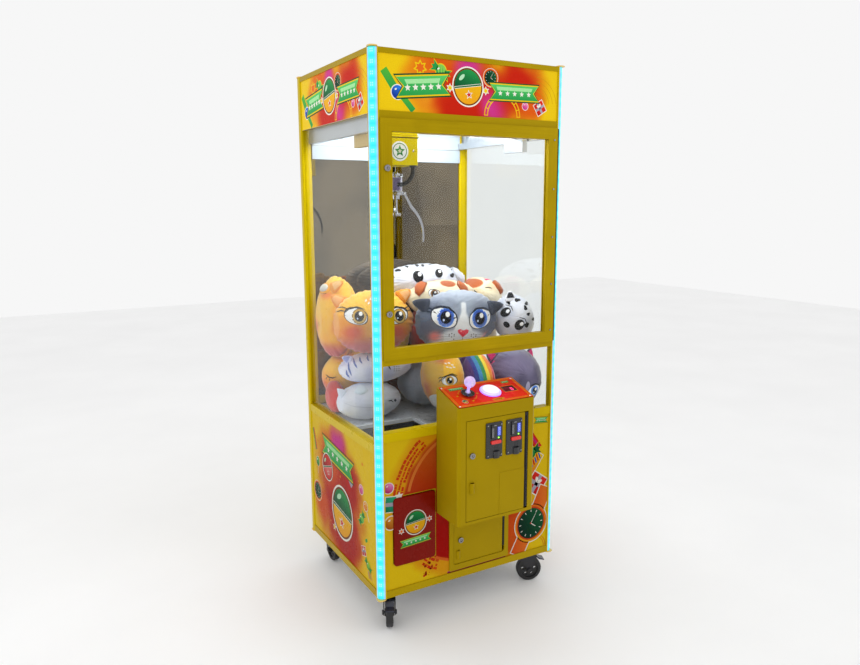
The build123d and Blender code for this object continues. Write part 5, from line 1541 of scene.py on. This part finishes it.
                    taper = min(1.0, 0.25 + 3.0 * min(q, n - 1 - q) / n)
                    hw = ex * 0.5 * taper
                    for sgn in (-1, 1):
                        V.append(self.on(x - dy / L * hw * sgn, y + dx / L * hw * sgn, base))
                        C.append(color)
                for q in range(n - 1):
                    Fc.append((k0 + 2 * q, k0 + 2 * q + 1, k0 + 2 * q + 3, k0 + 2 * q + 2))
        o = obj_from("print_" + self.name, V, Fc, M["plush_print"], True)
        ca = o.data.color_attributes.new("Ink", "BYTE_COLOR", "POINT")
        ca.data.foreach_set("color_srgb", np.concatenate([np.clip(np.array(C), 0, 1), np.ones((len(C), 1))], 1).ravel())
        c = Vector((self.c + TO_CAB) / 1000)
        me = o.data
        flip = [p.index for p in me.polygons if p.normal.dot(p.center - c) < 0]
        if flip:
            bm = bmesh.new(); bm.from_mesh(me); bm.faces.ensure_lookup_table()
            bmesh.ops.reverse_faces(bm, faces=[bm.faces[k] for k in flip])
            bm.to_mesh(me); bm.free()
        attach(o, "cabinet")

    def ear(self, tag, base, tip, width, thick, c1, c2=None, lean=0.0, back=0.0):
        """A stuffed ear: a flattened leaf from a point on the head outward."""
        b0 = self.on(base[0], base[1], 0) - self.f * (back / 1000)
        ax = self.r * (tip[0] - base[0]) + self.u * (tip[1] - base[1]) + self.f * lean
        L = ax.length
        ax.normalize()
        side = ax.cross(self.f).normalized()
        nrm = side.cross(ax).normalized()
        ns, na = 14, 20
        V, Fc, C = [], [], []
        b0 = b0 - ax * 0.008
        for a in range(ns + 1):
            s = a / ns
            w = width * 0.5 * (1 - s) ** 0.62 * (1 + 0.12 * s) if s < 1 else 0.001
            h = thick * 0.5 * (1 - s ** 3) ** 0.6 if s < 1 else 0.001
            for b in range(na):
                g = 2 * math.pi * b / na
                bend = -0.10 * L * s * s
                q = b0 + (ax * (L * s + 8 * (s > 0)) + side * (w * math.cos(g)) + nrm * (h * math.sin(g) + bend)) / 1000
                V.append(q)
                inner = c2 is not None and math.sin(g) > 0.25 and abs(math.cos(g)) < 0.75 and 0.15 < s < 0.85
                C.append(c2 if inner else c1)
        for a in range(ns):
            for b in range(na):
                k = a * na
                Fc.append((k + b, k + na + b, k + na + (b + 1) % na, k + (b + 1) % na))
        Fc.append(tuple(range(na)))
        Fc.append(tuple(ns * na + b for b in range(na)))
        P0 = (np.array([v[:] for v in V]) * 1000) - TO_CAB
        P0 = keep_in(P0)
        o = obj_from(f"ear_{self.name}_{tag}", (P0 + TO_CAB) / 1000, Fc, M["plush"], True)
        ca = o.data.color_attributes.new("Ink", "BYTE_COLOR", "POINT")
        ca.data.foreach_set("color_srgb", np.concatenate([np.array(C), np.ones((len(C), 1))], 1).ravel())
        fix_normals(o)
        m = o.modifiers.new("soft", "SUBSURF")
        m.levels = m.render_levels = 1
        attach(o, "cabinet")


def mixc(a, b, t):
    t = max(0.0, min(1.0, t))
    t = t * t * (3 - 2 * t)
    return tuple(x + (y - x) * t for x, y in zip(a, b))


def eye(toy, x, y, w, h, iris, rot=0.0, look=(0, 0), white=True, lash=1, L=4, ring=None):
    """A printed cartoon eye: lid line, white, iris, pupil and highlights."""
    almond = []
    for k in range(36):
        a = 2 * math.pi * k / 36
        px, py = math.cos(a), math.sin(a)
        py = math.copysign(abs(py) ** 0.85, py)
        px = math.copysign(abs(px) ** 0.95, px)
        almond.append((px * w / 2, py * h / 2 + 0.10 * h * px * lash))
    grow = [(px * 1.08 + 0.6, py * 1.10 + 1.2) for px, py in almond]
    toy.blob(turned(grow, x, y, rot), srgb(24, 26, 40), L)
    if white:
        toy.blob(turned(almond, x, y, rot), srgb(250, 250, 252), L + 1)
    r = min(w * 0.36, h * 0.46)
    ix, iy = x + look[0], y + look[1]
    toy.blob(circle(ix, iy, r * 1.02, 30, r * 1.08, rot), ring or iris, L + 2)
    toy.blob(circle(ix, iy, r * 0.90, 30, r * 0.96, rot), iris, L + 3, mixc(iris, (1, 1, 1), 0.35), (0, -1))
    toy.blob(circle(ix, iy, r * 0.66, 26, r * 0.72, rot), srgb(14, 16, 26), L + 4)
    toy.blob(circle(ix + r * 0.20, iy + r * 0.34, r * 0.26, 16, r * 0.30), srgb(255, 255, 255), L + 5, rings=2)
    toy.blob(circle(ix - r * 0.26, iy - r * 0.30, r * 0.12, 12, r * 0.13), srgb(210, 225, 255), L + 5, rings=2)


def spots(toy, pts, color=srgb(16, 18, 26), L=2):
    rnd = random.Random(toy.i)
    for (x, y, r) in pts:
        out = []
        k0 = rnd.random() * 6
        for k in range(20):
            a = 2 * math.pi * k / 20
            rr = r * (1 + 0.26 * math.sin(2 * a + k0) + 0.14 * math.sin(3 * a + 2 * k0))
            out.append((x + rr * math.cos(a), y + rr * 0.8 * math.sin(a)))
        toy.blob(out, color, L, rings=4)


CAM = (-0.475, -0.862, 0.178)
UPZ = (0, 0, 1)
fawn1, fawn2, fawn3, fawn4 = srgb(252, 196, 60), srgb(244, 150, 36), srgb(226, 92, 58), srgb(204, 92, 96)


def fawn_tone(k=1.0, low=40.0):
    def tone(x, y, z):
        n = noise.noise(Vector((x / 45, y / 45, z / 45)))
        c = mixc(fawn1, fawn2, 0.06 + (abs(x) * 0.0050 - y * 0.0055) * k + 0.4 * n)
        freck = math.exp(-((x - 2) / 40) ** 2 - ((y - 78) / 20) ** 2)
        c = mixc(c, srgb(240, 120, 62), 0.75 * freck * (1 if z > 0 else 0))
        cheek = math.exp(-((abs(x) - 84) / 40) ** 2 - ((y + 44) / 30) ** 2)
        c = mixc(c, fawn3, cheek * (1 if z > 0 else 0))
        c = mixc(c, fawn4, (-(y) - low) / 50 * (1 if z > -20 else 0.3))
        return c
    return tone


def plain(c1, c2=None, s=60.0):
    c2 = c2 or tuple(v * 0.9 for v in c1)
    def tone(x, y, z):
        return mixc(c1, c2, 0.5 + 1.1 * noise.noise(Vector((x / s, y / s, z / s))))
    return tone


WHT, WH2 = srgb(218, 220, 230), srgb(196, 201, 218)


def kitten_tone(x, y, z):
    """Grey head, pale blaze and muzzle, blushed cheeks; x is measured from the face's own middle."""
    x -= 12 if z > 0 else 0
    g = mixc(srgb(154, 164, 182), srgb(98, 106, 126), 0.5 + (abs(x) - 70) / 120 + 0.3 * noise.noise(Vector((x / 40, y / 40, z / 40))))
    g = mixc(g, srgb(180, 188, 204), (y - 30) / 90)
    if z > 0:
        half = 10 + max(0.0, 26 - y) * 0.42
        blaze = (half + 4 - abs(x)) / 8 * (1 if y < 58 else max(0, 1 - (y - 58) / 8))
        g = mixc(g, srgb(240, 243, 248), blaze)
        muz = 1 - math.hypot(x / 142, (y + 96) / 66)
        g = mixc(g, srgb(214, 220, 230), muz * 4)
        blush = math.exp(-((abs(x) - 112) / 26) ** 2 - ((y + 66) / 20) ** 2)
        g = mixc(g, srgb(236, 132, 128), blush)
    return g


def rainbow_tone(x, y, z):
    u = x + 0.0016 * (y - 10) ** 2 * (1 if y > 10 else 0.5)
    cs = [srgb(96, 60, 150), srgb(60, 70, 176), srgb(70, 150, 214), srgb(60, 150, 90), srgb(244, 214, 60), srgb(240, 140, 50), srgb(222, 50, 50)]
    k = (u + 30) / 84 * 7
    k = max(0, min(6.999, k))
    i = int(k)
    fr = k - i
    c = cs[i]
    if fr > 0.94 and i < 6:
        c = mixc(cs[i], cs[i + 1], (fr - 0.94) / 0.06)
    return c


def pup_tone(side):
    def tone(x, y, z):
        c = mixc(srgb(246, 232, 200), srgb(232, 210, 170), 0.5 + noise.noise(Vector((x / 50, y / 50, z / 50))))
        a = math.hypot((x - side[0]) / side[2], (y - side[1]) / side[3])
        return mixc(c, srgb(182, 92, 42), (1.15 - a) * 5)
    return tone


def cub_tone(x, y, z):
    return mixc(srgb(236, 236, 250), srgb(196, 198, 232), 0.4 + 0.9 * noise.noise(Vector((x / 60, y / 60, z / 60))) - y / 160)


def violet_tone(x, y, z):
    c = mixc(srgb(122, 112, 146), srgb(84, 76, 108), 0.5 + noise.noise(Vector((x / 60, y / 60, z / 60))) - y / 260)
    return mixc(c, srgb(160, 170, 190), (y - 70) / 60)


toys = {}


def toy(name, *a, **k):
    toys[name] = Toy(name, *a, **k)
    return toys[name]


toy("brown_low", CAM, UPZ, plain(srgb(150, 92, 50)), 24, 56)
toy("blue_low", CAM, UPZ, plain(srgb(86, 130, 200)), 24, 56)
toy("grey_low", CAM, UPZ, plain(srgb(150, 156, 170)), 28, 64)
toy("white_low", CAM, UPZ, plain(WHT, WH2), 28, 64)
toy("yellow_mid", CAM, UPZ, plain(srgb(248, 206, 80)), 28, 64)
toy("red_mid", CAM, UPZ, plain(srgb(206, 50, 50)), 28, 64)
toy("grey_mid", CAM, UPZ, plain(srgb(214, 196, 170), srgb(190, 168, 140)), 28, 64)
toy("red_cushion", (-0.8, -0.5, 0.2), UPZ, plain(srgb(214, 44, 40), srgb(180, 26, 26)), 28, 64)

t = toy("orange_low", (-0.75, -0.6, 0.1), UPZ, fawn_tone(1, 60))
t.stroke([(-60, 8), (-44, -2), (-28, -4), (-14, 2)], 5, srgb(40, 30, 20))
t.stroke([(-52, -2), (-60, -12)], 3.5, srgb(40, 30, 20))
t.stroke([(-40, -6), (-44, -18)], 3.5, srgb(40, 30, 20))
t.build()

t = toy("fawn_rear", (-0.8, -0.45, 0.25), UPZ, fawn_tone(0.6, 90), 40, 100, pucker=1.3)
t.blob(circle(-16, 104, 34, 30, 24), srgb(246, 170, 40), 1, puff=7)
t.blob(circle(-16, 104, 25, 30, 17), srgb(226, 222, 210), 20, srgb(200, 196, 190), (0, -1), puff=9)
t.stroke([(-44, -34), (-34, -28)], 3.4, srgb(50, 36, 20))
t.stroke([(-40, -42), (-30, -36)], 3.4, srgb(50, 36, 20))
t.ear("a", (20, 108), (66, 138), 52, 18, srgb(244, 160, 50), srgb(250, 196, 130))
t.build()

t = toy("fawn_big", (-0.32, -0.92, 0.22), UPZ, fawn_tone(1.0, 46), 48, 120, pucker=1.5)
for s in (-1, 1):
    kx = 80 * s + 6
    eye(t, kx, 16, 82, 58, srgb(206, 160, 60), 0.10 * s, (9 - 3 * s, -1), lash=s, ring=srgb(150, 110, 40))
    t.stroke([(kx + 42 * s, 28), (kx + 26 * s, 44), (kx - 4 * s, 50), (kx - 34 * s, 40)], 6, srgb(40, 34, 20), 10)
    t.stroke([(kx + 36 * s, 36), (kx + 54 * s, 40), (kx + 70 * s, 36)], 4, srgb(40, 34, 20), 10)
    t.stroke([(kx + 28 * s, 44), (kx + 46 * s, 53), (kx + 64 * s, 52)], 3.6, srgb(40, 34, 20), 10)
for (x, y) in ((-34, 74), (-16, 80), (2, 74), (20, 80), (-24, 64), (-4, 64), (16, 64), (-8, 90), (12, 92), (34, 70)):
    t.blob(circle(x, y, 2.8, 12, 6.0, -0.5), srgb(255, 244, 226), 4, rings=2)
t.blob(circle(4, -40, 18, 26, 12), srgb(110, 52, 40), 5, srgb(150, 80, 60), (0, 1))
t.blob(circle(-1, -35, 5, 12, 2.6), srgb(250, 220, 210), 7, rings=2)
t.stroke([(-26, -64), (-10, -71), (4, -66), (16, -71), (32, -64)], 3.8, srgb(90, 40, 36), 6)
t.ear("left", (-118, 78), (-160, 112), 64, 24, srgb(244, 150, 44), srgb(250, 184, 120))
t.ear("right", (104, 88), (146, 118), 62, 22, srgb(244, 150, 44), srgb(250, 184, 120))
t.build()

t = toy("fawn_low", (-0.55, -0.80, 0.1), UPZ, fawn_tone(1.0, 60), 40, 96, pucker=1.2)
eye(t, 34, 4, 54, 34, srgb(206, 160, 60), 0.35, (2, 0), lash=-1)
t.stroke([(62, 22), (44, 28), (24, 20), (10, 6)], 5, srgb(40, 34, 20), 10)
t.stroke([(10, 6), (0, 2), (-6, -8)], 3.4, srgb(40, 34, 20), 10)
t.stroke([(14, 14), (2, 14), (-8, 6)], 3.4, srgb(40, 34, 20), 10)
for (x, y) in ((20, 64), (32, 66), (44, 60), (26, 52), (38, 50), (50, 52)):
    t.blob(circle(x, y, 5.2, 12, 2.2, -0.2), srgb(255, 244, 226), 4, rings=2)
t.blob(circle(-10, -84, 40, 30, 30), srgb(240, 236, 232), 3, srgb(250, 248, 246), (0, 1))
t.build()

t = toy("rainbow", (-0.30, -0.95, 0.10), UPZ, rainbow_tone, 72, 150, pucker=0.5)
t.build()

t = toy("violet_cat", (-0.10, -0.96, 0.25), UPZ, violet_tone, 44, 108)
eye(t, 36, -58, 62, 40, srgb(70, 130, 226), 0.15, (2, 0), lash=1)
t.stroke([(68, -50), (58, -38), (38, -32), (14, -38)], 5.5, srgb(22, 20, 34), 10)
t.stroke([(64, -46), (76, -38), (82, -28)], 4, srgb(22, 20, 34), 10)
t.stroke([(56, -40), (68, -30), (72, -20)], 4, srgb(22, 20, 34), 10)
t.blob(circle(4, -44, 10, 24, 24, -0.1), srgb(176, 170, 196), 3, srgb(150, 142, 176), (0, -1))
t.blob([(-100, 60), (-86, 66), (-66, 92), (-60, 108), (-74, 104), (-94, 82)], srgb(236, 60, 130), 4)
t.blob([(84, 44), (98, 40), (104, 10), (106, -20), (98, -16), (90, 20)], srgb(190, 40, 100), 4)
t.ear("left", (-78, 84), (-106, 116), 54, 18, srgb(104, 100, 128), srgb(236, 60, 130))
t.ear("right", (84, 72), (108, 112), 54, 18, srgb(92, 88, 118), srgb(236, 60, 130))
t.build()

t = toy("white_seal", (-0.50, -0.80, 0.35), UPZ, plain(WHT, srgb(214, 218, 238)), 40, 96, pucker=0.8)
t.blob([(-46, 20), (-34, 50), (-16, 52), (8, 30), (-6, 14), (-26, 12)], srgb(206, 220, 232), 3, srgb(230, 236, 244), (0, 1), puff=6)
t.stroke([(80, -8), (90, -4), (98, -10)], 4, srgb(30, 34, 60))
t.stroke([(-80, -20), (-40, -34), (10, -36), (60, -28)], 1.6, srgb(170, 176, 200), 2)
t.blob(circle(104, -2, 4, 14, 5), srgb(40, 44, 70), 5, rings=2)
t.ear("fin", (-92, 10), (-124, 34), 48, 16, srgb(214, 222, 238))
t.build()

t = toy("striped_cub", (-0.40, -0.90, 0.15), UPZ, cub_tone, 40, 104, pucker=0.9)
for (a, b) in (((-104, 26), (-92, -26)), ((-84, 38), (-70, 2)), ((-60, 42), (-52, 18)), ((-30, 46), (-26, 26)), ((96, 36), (88, 10)), ((-112, -4), (-100, -34))):
    t.stroke([a, ((a[0] + b[0]) / 2 - 4, (a[1] + b[1]) / 2), b], 7, srgb(96, 116, 190))
t.stroke([(44, 14), (50, 2), (56, -8)], 6, srgb(20, 20, 34), 5)
for k in range(9):
    t.blob(circle(70 + 9 * (k % 3), 2 - 8 * (k // 3), 1.8, 10), srgb(30, 30, 44), 5, rings=1)
t.ear("left", (-98, 30), (-128, 44), 40, 16, srgb(206, 208, 240), srgb(150, 156, 214))
t.build()

t = toy("kitten", (-0.33, -0.92, 0.20), (0.04, 0, 1), kitten_tone, 64, 150, pucker=0.8)
for s in (-1, 1):
    kx = 74 * s + 8
    eye(t, kx, 4, 98 if s < 0 else 92, 72, srgb(44, 84, 190), 0.08 * s, (-4 * s + 2, 0), lash=s, ring=srgb(96, 156, 246))
    t.stroke([(kx + 52 * s, 22), (kx + 40 * s, 36), (kx + 14 * s, 44), (kx - 18 * s, 40), (kx - 44 * s, 16)], 8.5, srgb(44, 50, 66), 10)
    t.stroke([(kx + 40 * s, 30), (kx + 58 * s, 40), (kx + 74 * s, 52)], 6.0, srgb(44, 50, 66), 10)
    t.stroke([(kx + 46 * s, 20), (kx + 62 * s, 26), (kx + 78 * s, 34)], 5.0, srgb(44, 50, 66), 10)
    for k in range(7):
        t.blob(circle(12 + (36 + 10 * (k % 3)) * s, -58 - 9 * (k // 3) + 3 * (k % 2), 2.2, 10), srgb(60, 62, 74), 5, rings=1)
    for k in range(3):
        t.stroke([(12 + 52 * s, -58 - 8 * k), (12 + 84 * s, -56 - 10 * k), (12 + 116 * s, -58 - 12 * k)], 1.5, srgb(150, 154, 166), 5)
    t.ear("left" if s < 0 else "right", (128 * s, 46), (184 * s, 62), 60, 20, srgb(66, 72, 88), srgb(52, 56, 70))
t.blob([(12, -68), (-8, -52), (-11, -42), (-1, -38), (12, -43), (25, -38), (35, -42), (32, -52)], srgb(214, 40, 62), 6, srgb(240, 84, 100), (0, 1))
t.blob(circle(3, -45, 4.4, 10, 2.0), srgb(255, 190, 196), 8, rings=1)
t.stroke([(12, -68), (12, -77), (-2, -86)], 2.6, srgb(120, 60, 70), 6)
t.stroke([(12, -77), (26, -86)], 2.6, srgb(120, 60, 70), 6)
t.build()

t = toy("spotted_right", (-0.55, -0.80, 0.20), (0.55, -0.35, 0.70), plain(WHT, WH2), 44, 108)
for s, kx in ((-1, -34), (1, 38)):
    t.blob(circle(kx, -6, 17, 28, 21, 0.2 * s), srgb(14, 14, 22), 4)
    t.blob(circle(kx + 4, 2, 6.5, 16, 8), srgb(250, 250, 255), 6, rings=2)
    t.stroke([(kx - 20, 14), (kx, 24), (kx + 20, 14)], 3, srgb(30, 30, 40), 5)
spots(t, [(10, 56, 9), (34, 46, 7), (-34, 58, 10), (-52, 28, 8), (58, 12, 10), (0, 72, 8), (60, 46, 6)])
t.blob(circle(2, -38, 14, 24, 10), srgb(20, 20, 26), 5)
t.ear("a", (-54, 42), (-80, 66), 48, 16, srgb(238, 238, 246), srgb(28, 28, 36))
t.build()

t = toy("pup", (-0.35, -0.86, 0.38), UPZ, pup_tone((24, 44, 30, 16)), 40, 100)
t.blob([(-96, 44), (-70, 60), (-58, 40), (-74, 4), (-96, -18), (-112, -2), (-110, 26)], srgb(166, 80, 36), 3, srgb(196, 106, 56), (0, 1), puff=11)
t.blob([(88, 50), (66, 60), (60, 40), (76, 8), (96, -10), (108, 6), (104, 32)], srgb(166, 80, 36), 3, srgb(196, 106, 56), (0, 1), puff=11)
t.stroke([(-52, 56), (-30, 64), (-8, 66)], 6, srgb(240, 80, 140), 4)
eye(t, -36, -6, 44, 34, srgb(120, 80, 40), 0.1, lash=-1)
eye(t, 40, -6, 44, 34, srgb(120, 80, 40), -0.1, lash=1)
t.build()

t = toy("pup_right", (-0.50, -0.80, 0.35), (0.15, 0, 1), pup_tone((-36, 30, 44, 24)), 40, 100)
t.blob([(44, 62), (66, 66), (92, 40), (98, 4), (84, -6), (66, 18), (46, 40)], srgb(160, 78, 34), 3, srgb(190, 100, 50), (0, 1), puff=11)
t.blob([(8, 56), (30, 66), (42, 58), (20, 44)], srgb(226, 46, 110), 4)
t.stroke([(-96, 10), (-70, 44), (-40, 62)], 5, srgb(240, 80, 140), 4)
eye(t, -30, -20, 40, 30, srgb(120, 80, 40), 0.1, lash=-1)
t.stroke([(20, 8), (36, 12), (50, 8)], 4, srgb(50, 40, 30), 5)
t.build()

t = toy("spotted_top", (-0.40, -0.88, 0.25), (-0.05, 0, 1), plain(WHT, WH2), 52, 136, pucker=1.1)
t.blob(circle(-22, 8, 21, 30, 25, 0.15), srgb(14, 14, 22), 4)
t.blob(circle(-15, 17, 7.5, 16, 9), srgb(250, 250, 255), 6, rings=2)
t.blob(circle(66, 22, 16, 28, 20, -0.2), srgb(14, 14, 22), 4)
t.blob(circle(70, 30, 6, 16, 7), srgb(250, 250, 255), 6, rings=2)
spots(t, [(-20, 62, 9), (4, 60, 8), (-62, 56, 7), (118, 58, 9), (136, 40, 10), (124, 16, 11), (150, 8, 8), (150, 40, 7), (-100, 40, 10), (-128, 10, 9), (36, 66, 5), (120, -12, 9)])
for k, (x, y) in enumerate(((-150, 24), (-140, 36), (-132, -10))):
    t.stroke([(x, y), (x + 6, y - 18), (x + 4, y - 36)], 6, srgb(120, 134, 180), 3)
t.blob([(128, 54), (150, 48), (172, 20), (178, -14), (160, -18), (140, 4), (124, 34)], WHT, 3, WH2, (0, -1), puff=10)
t.build()


# -------------------------------------------------------- camera, floor, lights
yaw, pitch, roll = math.radians(29.41), math.radians(-10.04), math.radians(-0.252)
fw = Vector((math.sin(yaw) * math.cos(pitch), math.cos(yaw) * math.cos(pitch), math.sin(pitch)))
rt = Vector((math.cos(yaw), -math.sin(yaw), 0))
up = rt.cross(fw)
r2 = math.cos(roll) * rt + math.sin(roll) * up
u2 = -math.sin(roll) * rt + math.cos(roll) * up
cam_data = bpy.data.cameras.new("camera")
cam = bpy.data.objects.new("camera", cam_data)
bpy.context.scene.collection.objects.link(cam)
cam.matrix_world = Matrix(((r2.x, u2.x, -fw.x, -1.3602), (r2.y, u2.y, -fw.y, -2.3637), (r2.z, u2.z, -fw.z, 1.4907), (0, 0, 0, 1)))
cam_data.lens = 30.17
cam_data.sensor_width = 36
cam_data.clip_end = 100
bpy.context.scene.camera = cam

world = bpy.context.scene.world or bpy.data.worlds.new("world")
bpy.context.scene.world = world
world.use_nodes = True
bg = world.node_tree.nodes["Background"]
bg.inputs["Color"].default_value = (0.93, 0.93, 0.93, 1)
bg.inputs["Strength"].default_value = 1.0
bpy.context.scene.view_settings.view_transform = "Standard"
bpy.context.scene.view_settings.look = "None"
bpy.context.scene.view_settings.exposure = 0.0

fm, fnt, fb = nodes_of("studio_floor")
fnoise = noise_tex(fnt, coords(fnt), 1.2, 4)
fnt.links.new(ramp(fnt, fnoise, [(0.2, (0.90, 0.90, 0.90)), (0.8, (0.95, 0.95, 0.95))]), fb.inputs["Base Color"])
fb.inputs["Roughness"].default_value = 0.75
floor = obj_from("floor", [(-9, -9, -0.0005), (9, -9, -0.0005), (9, 9, -0.0005), (-9, 9, -0.0005)], [(0, 1, 2, 3)], fm)


def area(name, loc, look, size, power, color=(1, 1, 1), size_y=None):
    d = bpy.data.lights.new(name, "AREA")
    d.energy = power
    d.color = color
    d.shape = "RECTANGLE" if size_y else "SQUARE"
    d.size = size
    if size_y:
        d.size_y = size_y
    o = bpy.data.objects.new(name, d)
    bpy.context.scene.collection.objects.link(o)
    o.location = loc
    o.rotation_euler = (Vector(look) - Vector(loc)).to_track_quat("-Z", "Y").to_euler()
    return o


area("key", (-2.6, -3.6, 3.4), (0, 0, 1.0), 2.4, 14)
area("fill", (3.2, -3.0, 2.4), (0, 0, 0.9), 2.4, 6)
area("side", (-4.2, 0.4, 2.0), (0, 0, 0.8), 2.0, 12)
area("back", (0.5, 3.6, 3.0), (0, 0, 1.0), 2.4, 4)
roomlight = area("inside_light", P(380, 330, 1684), P(380, 330, 600), 0.60, 7.0, (0.95, 0.98, 1.0), 0.50)
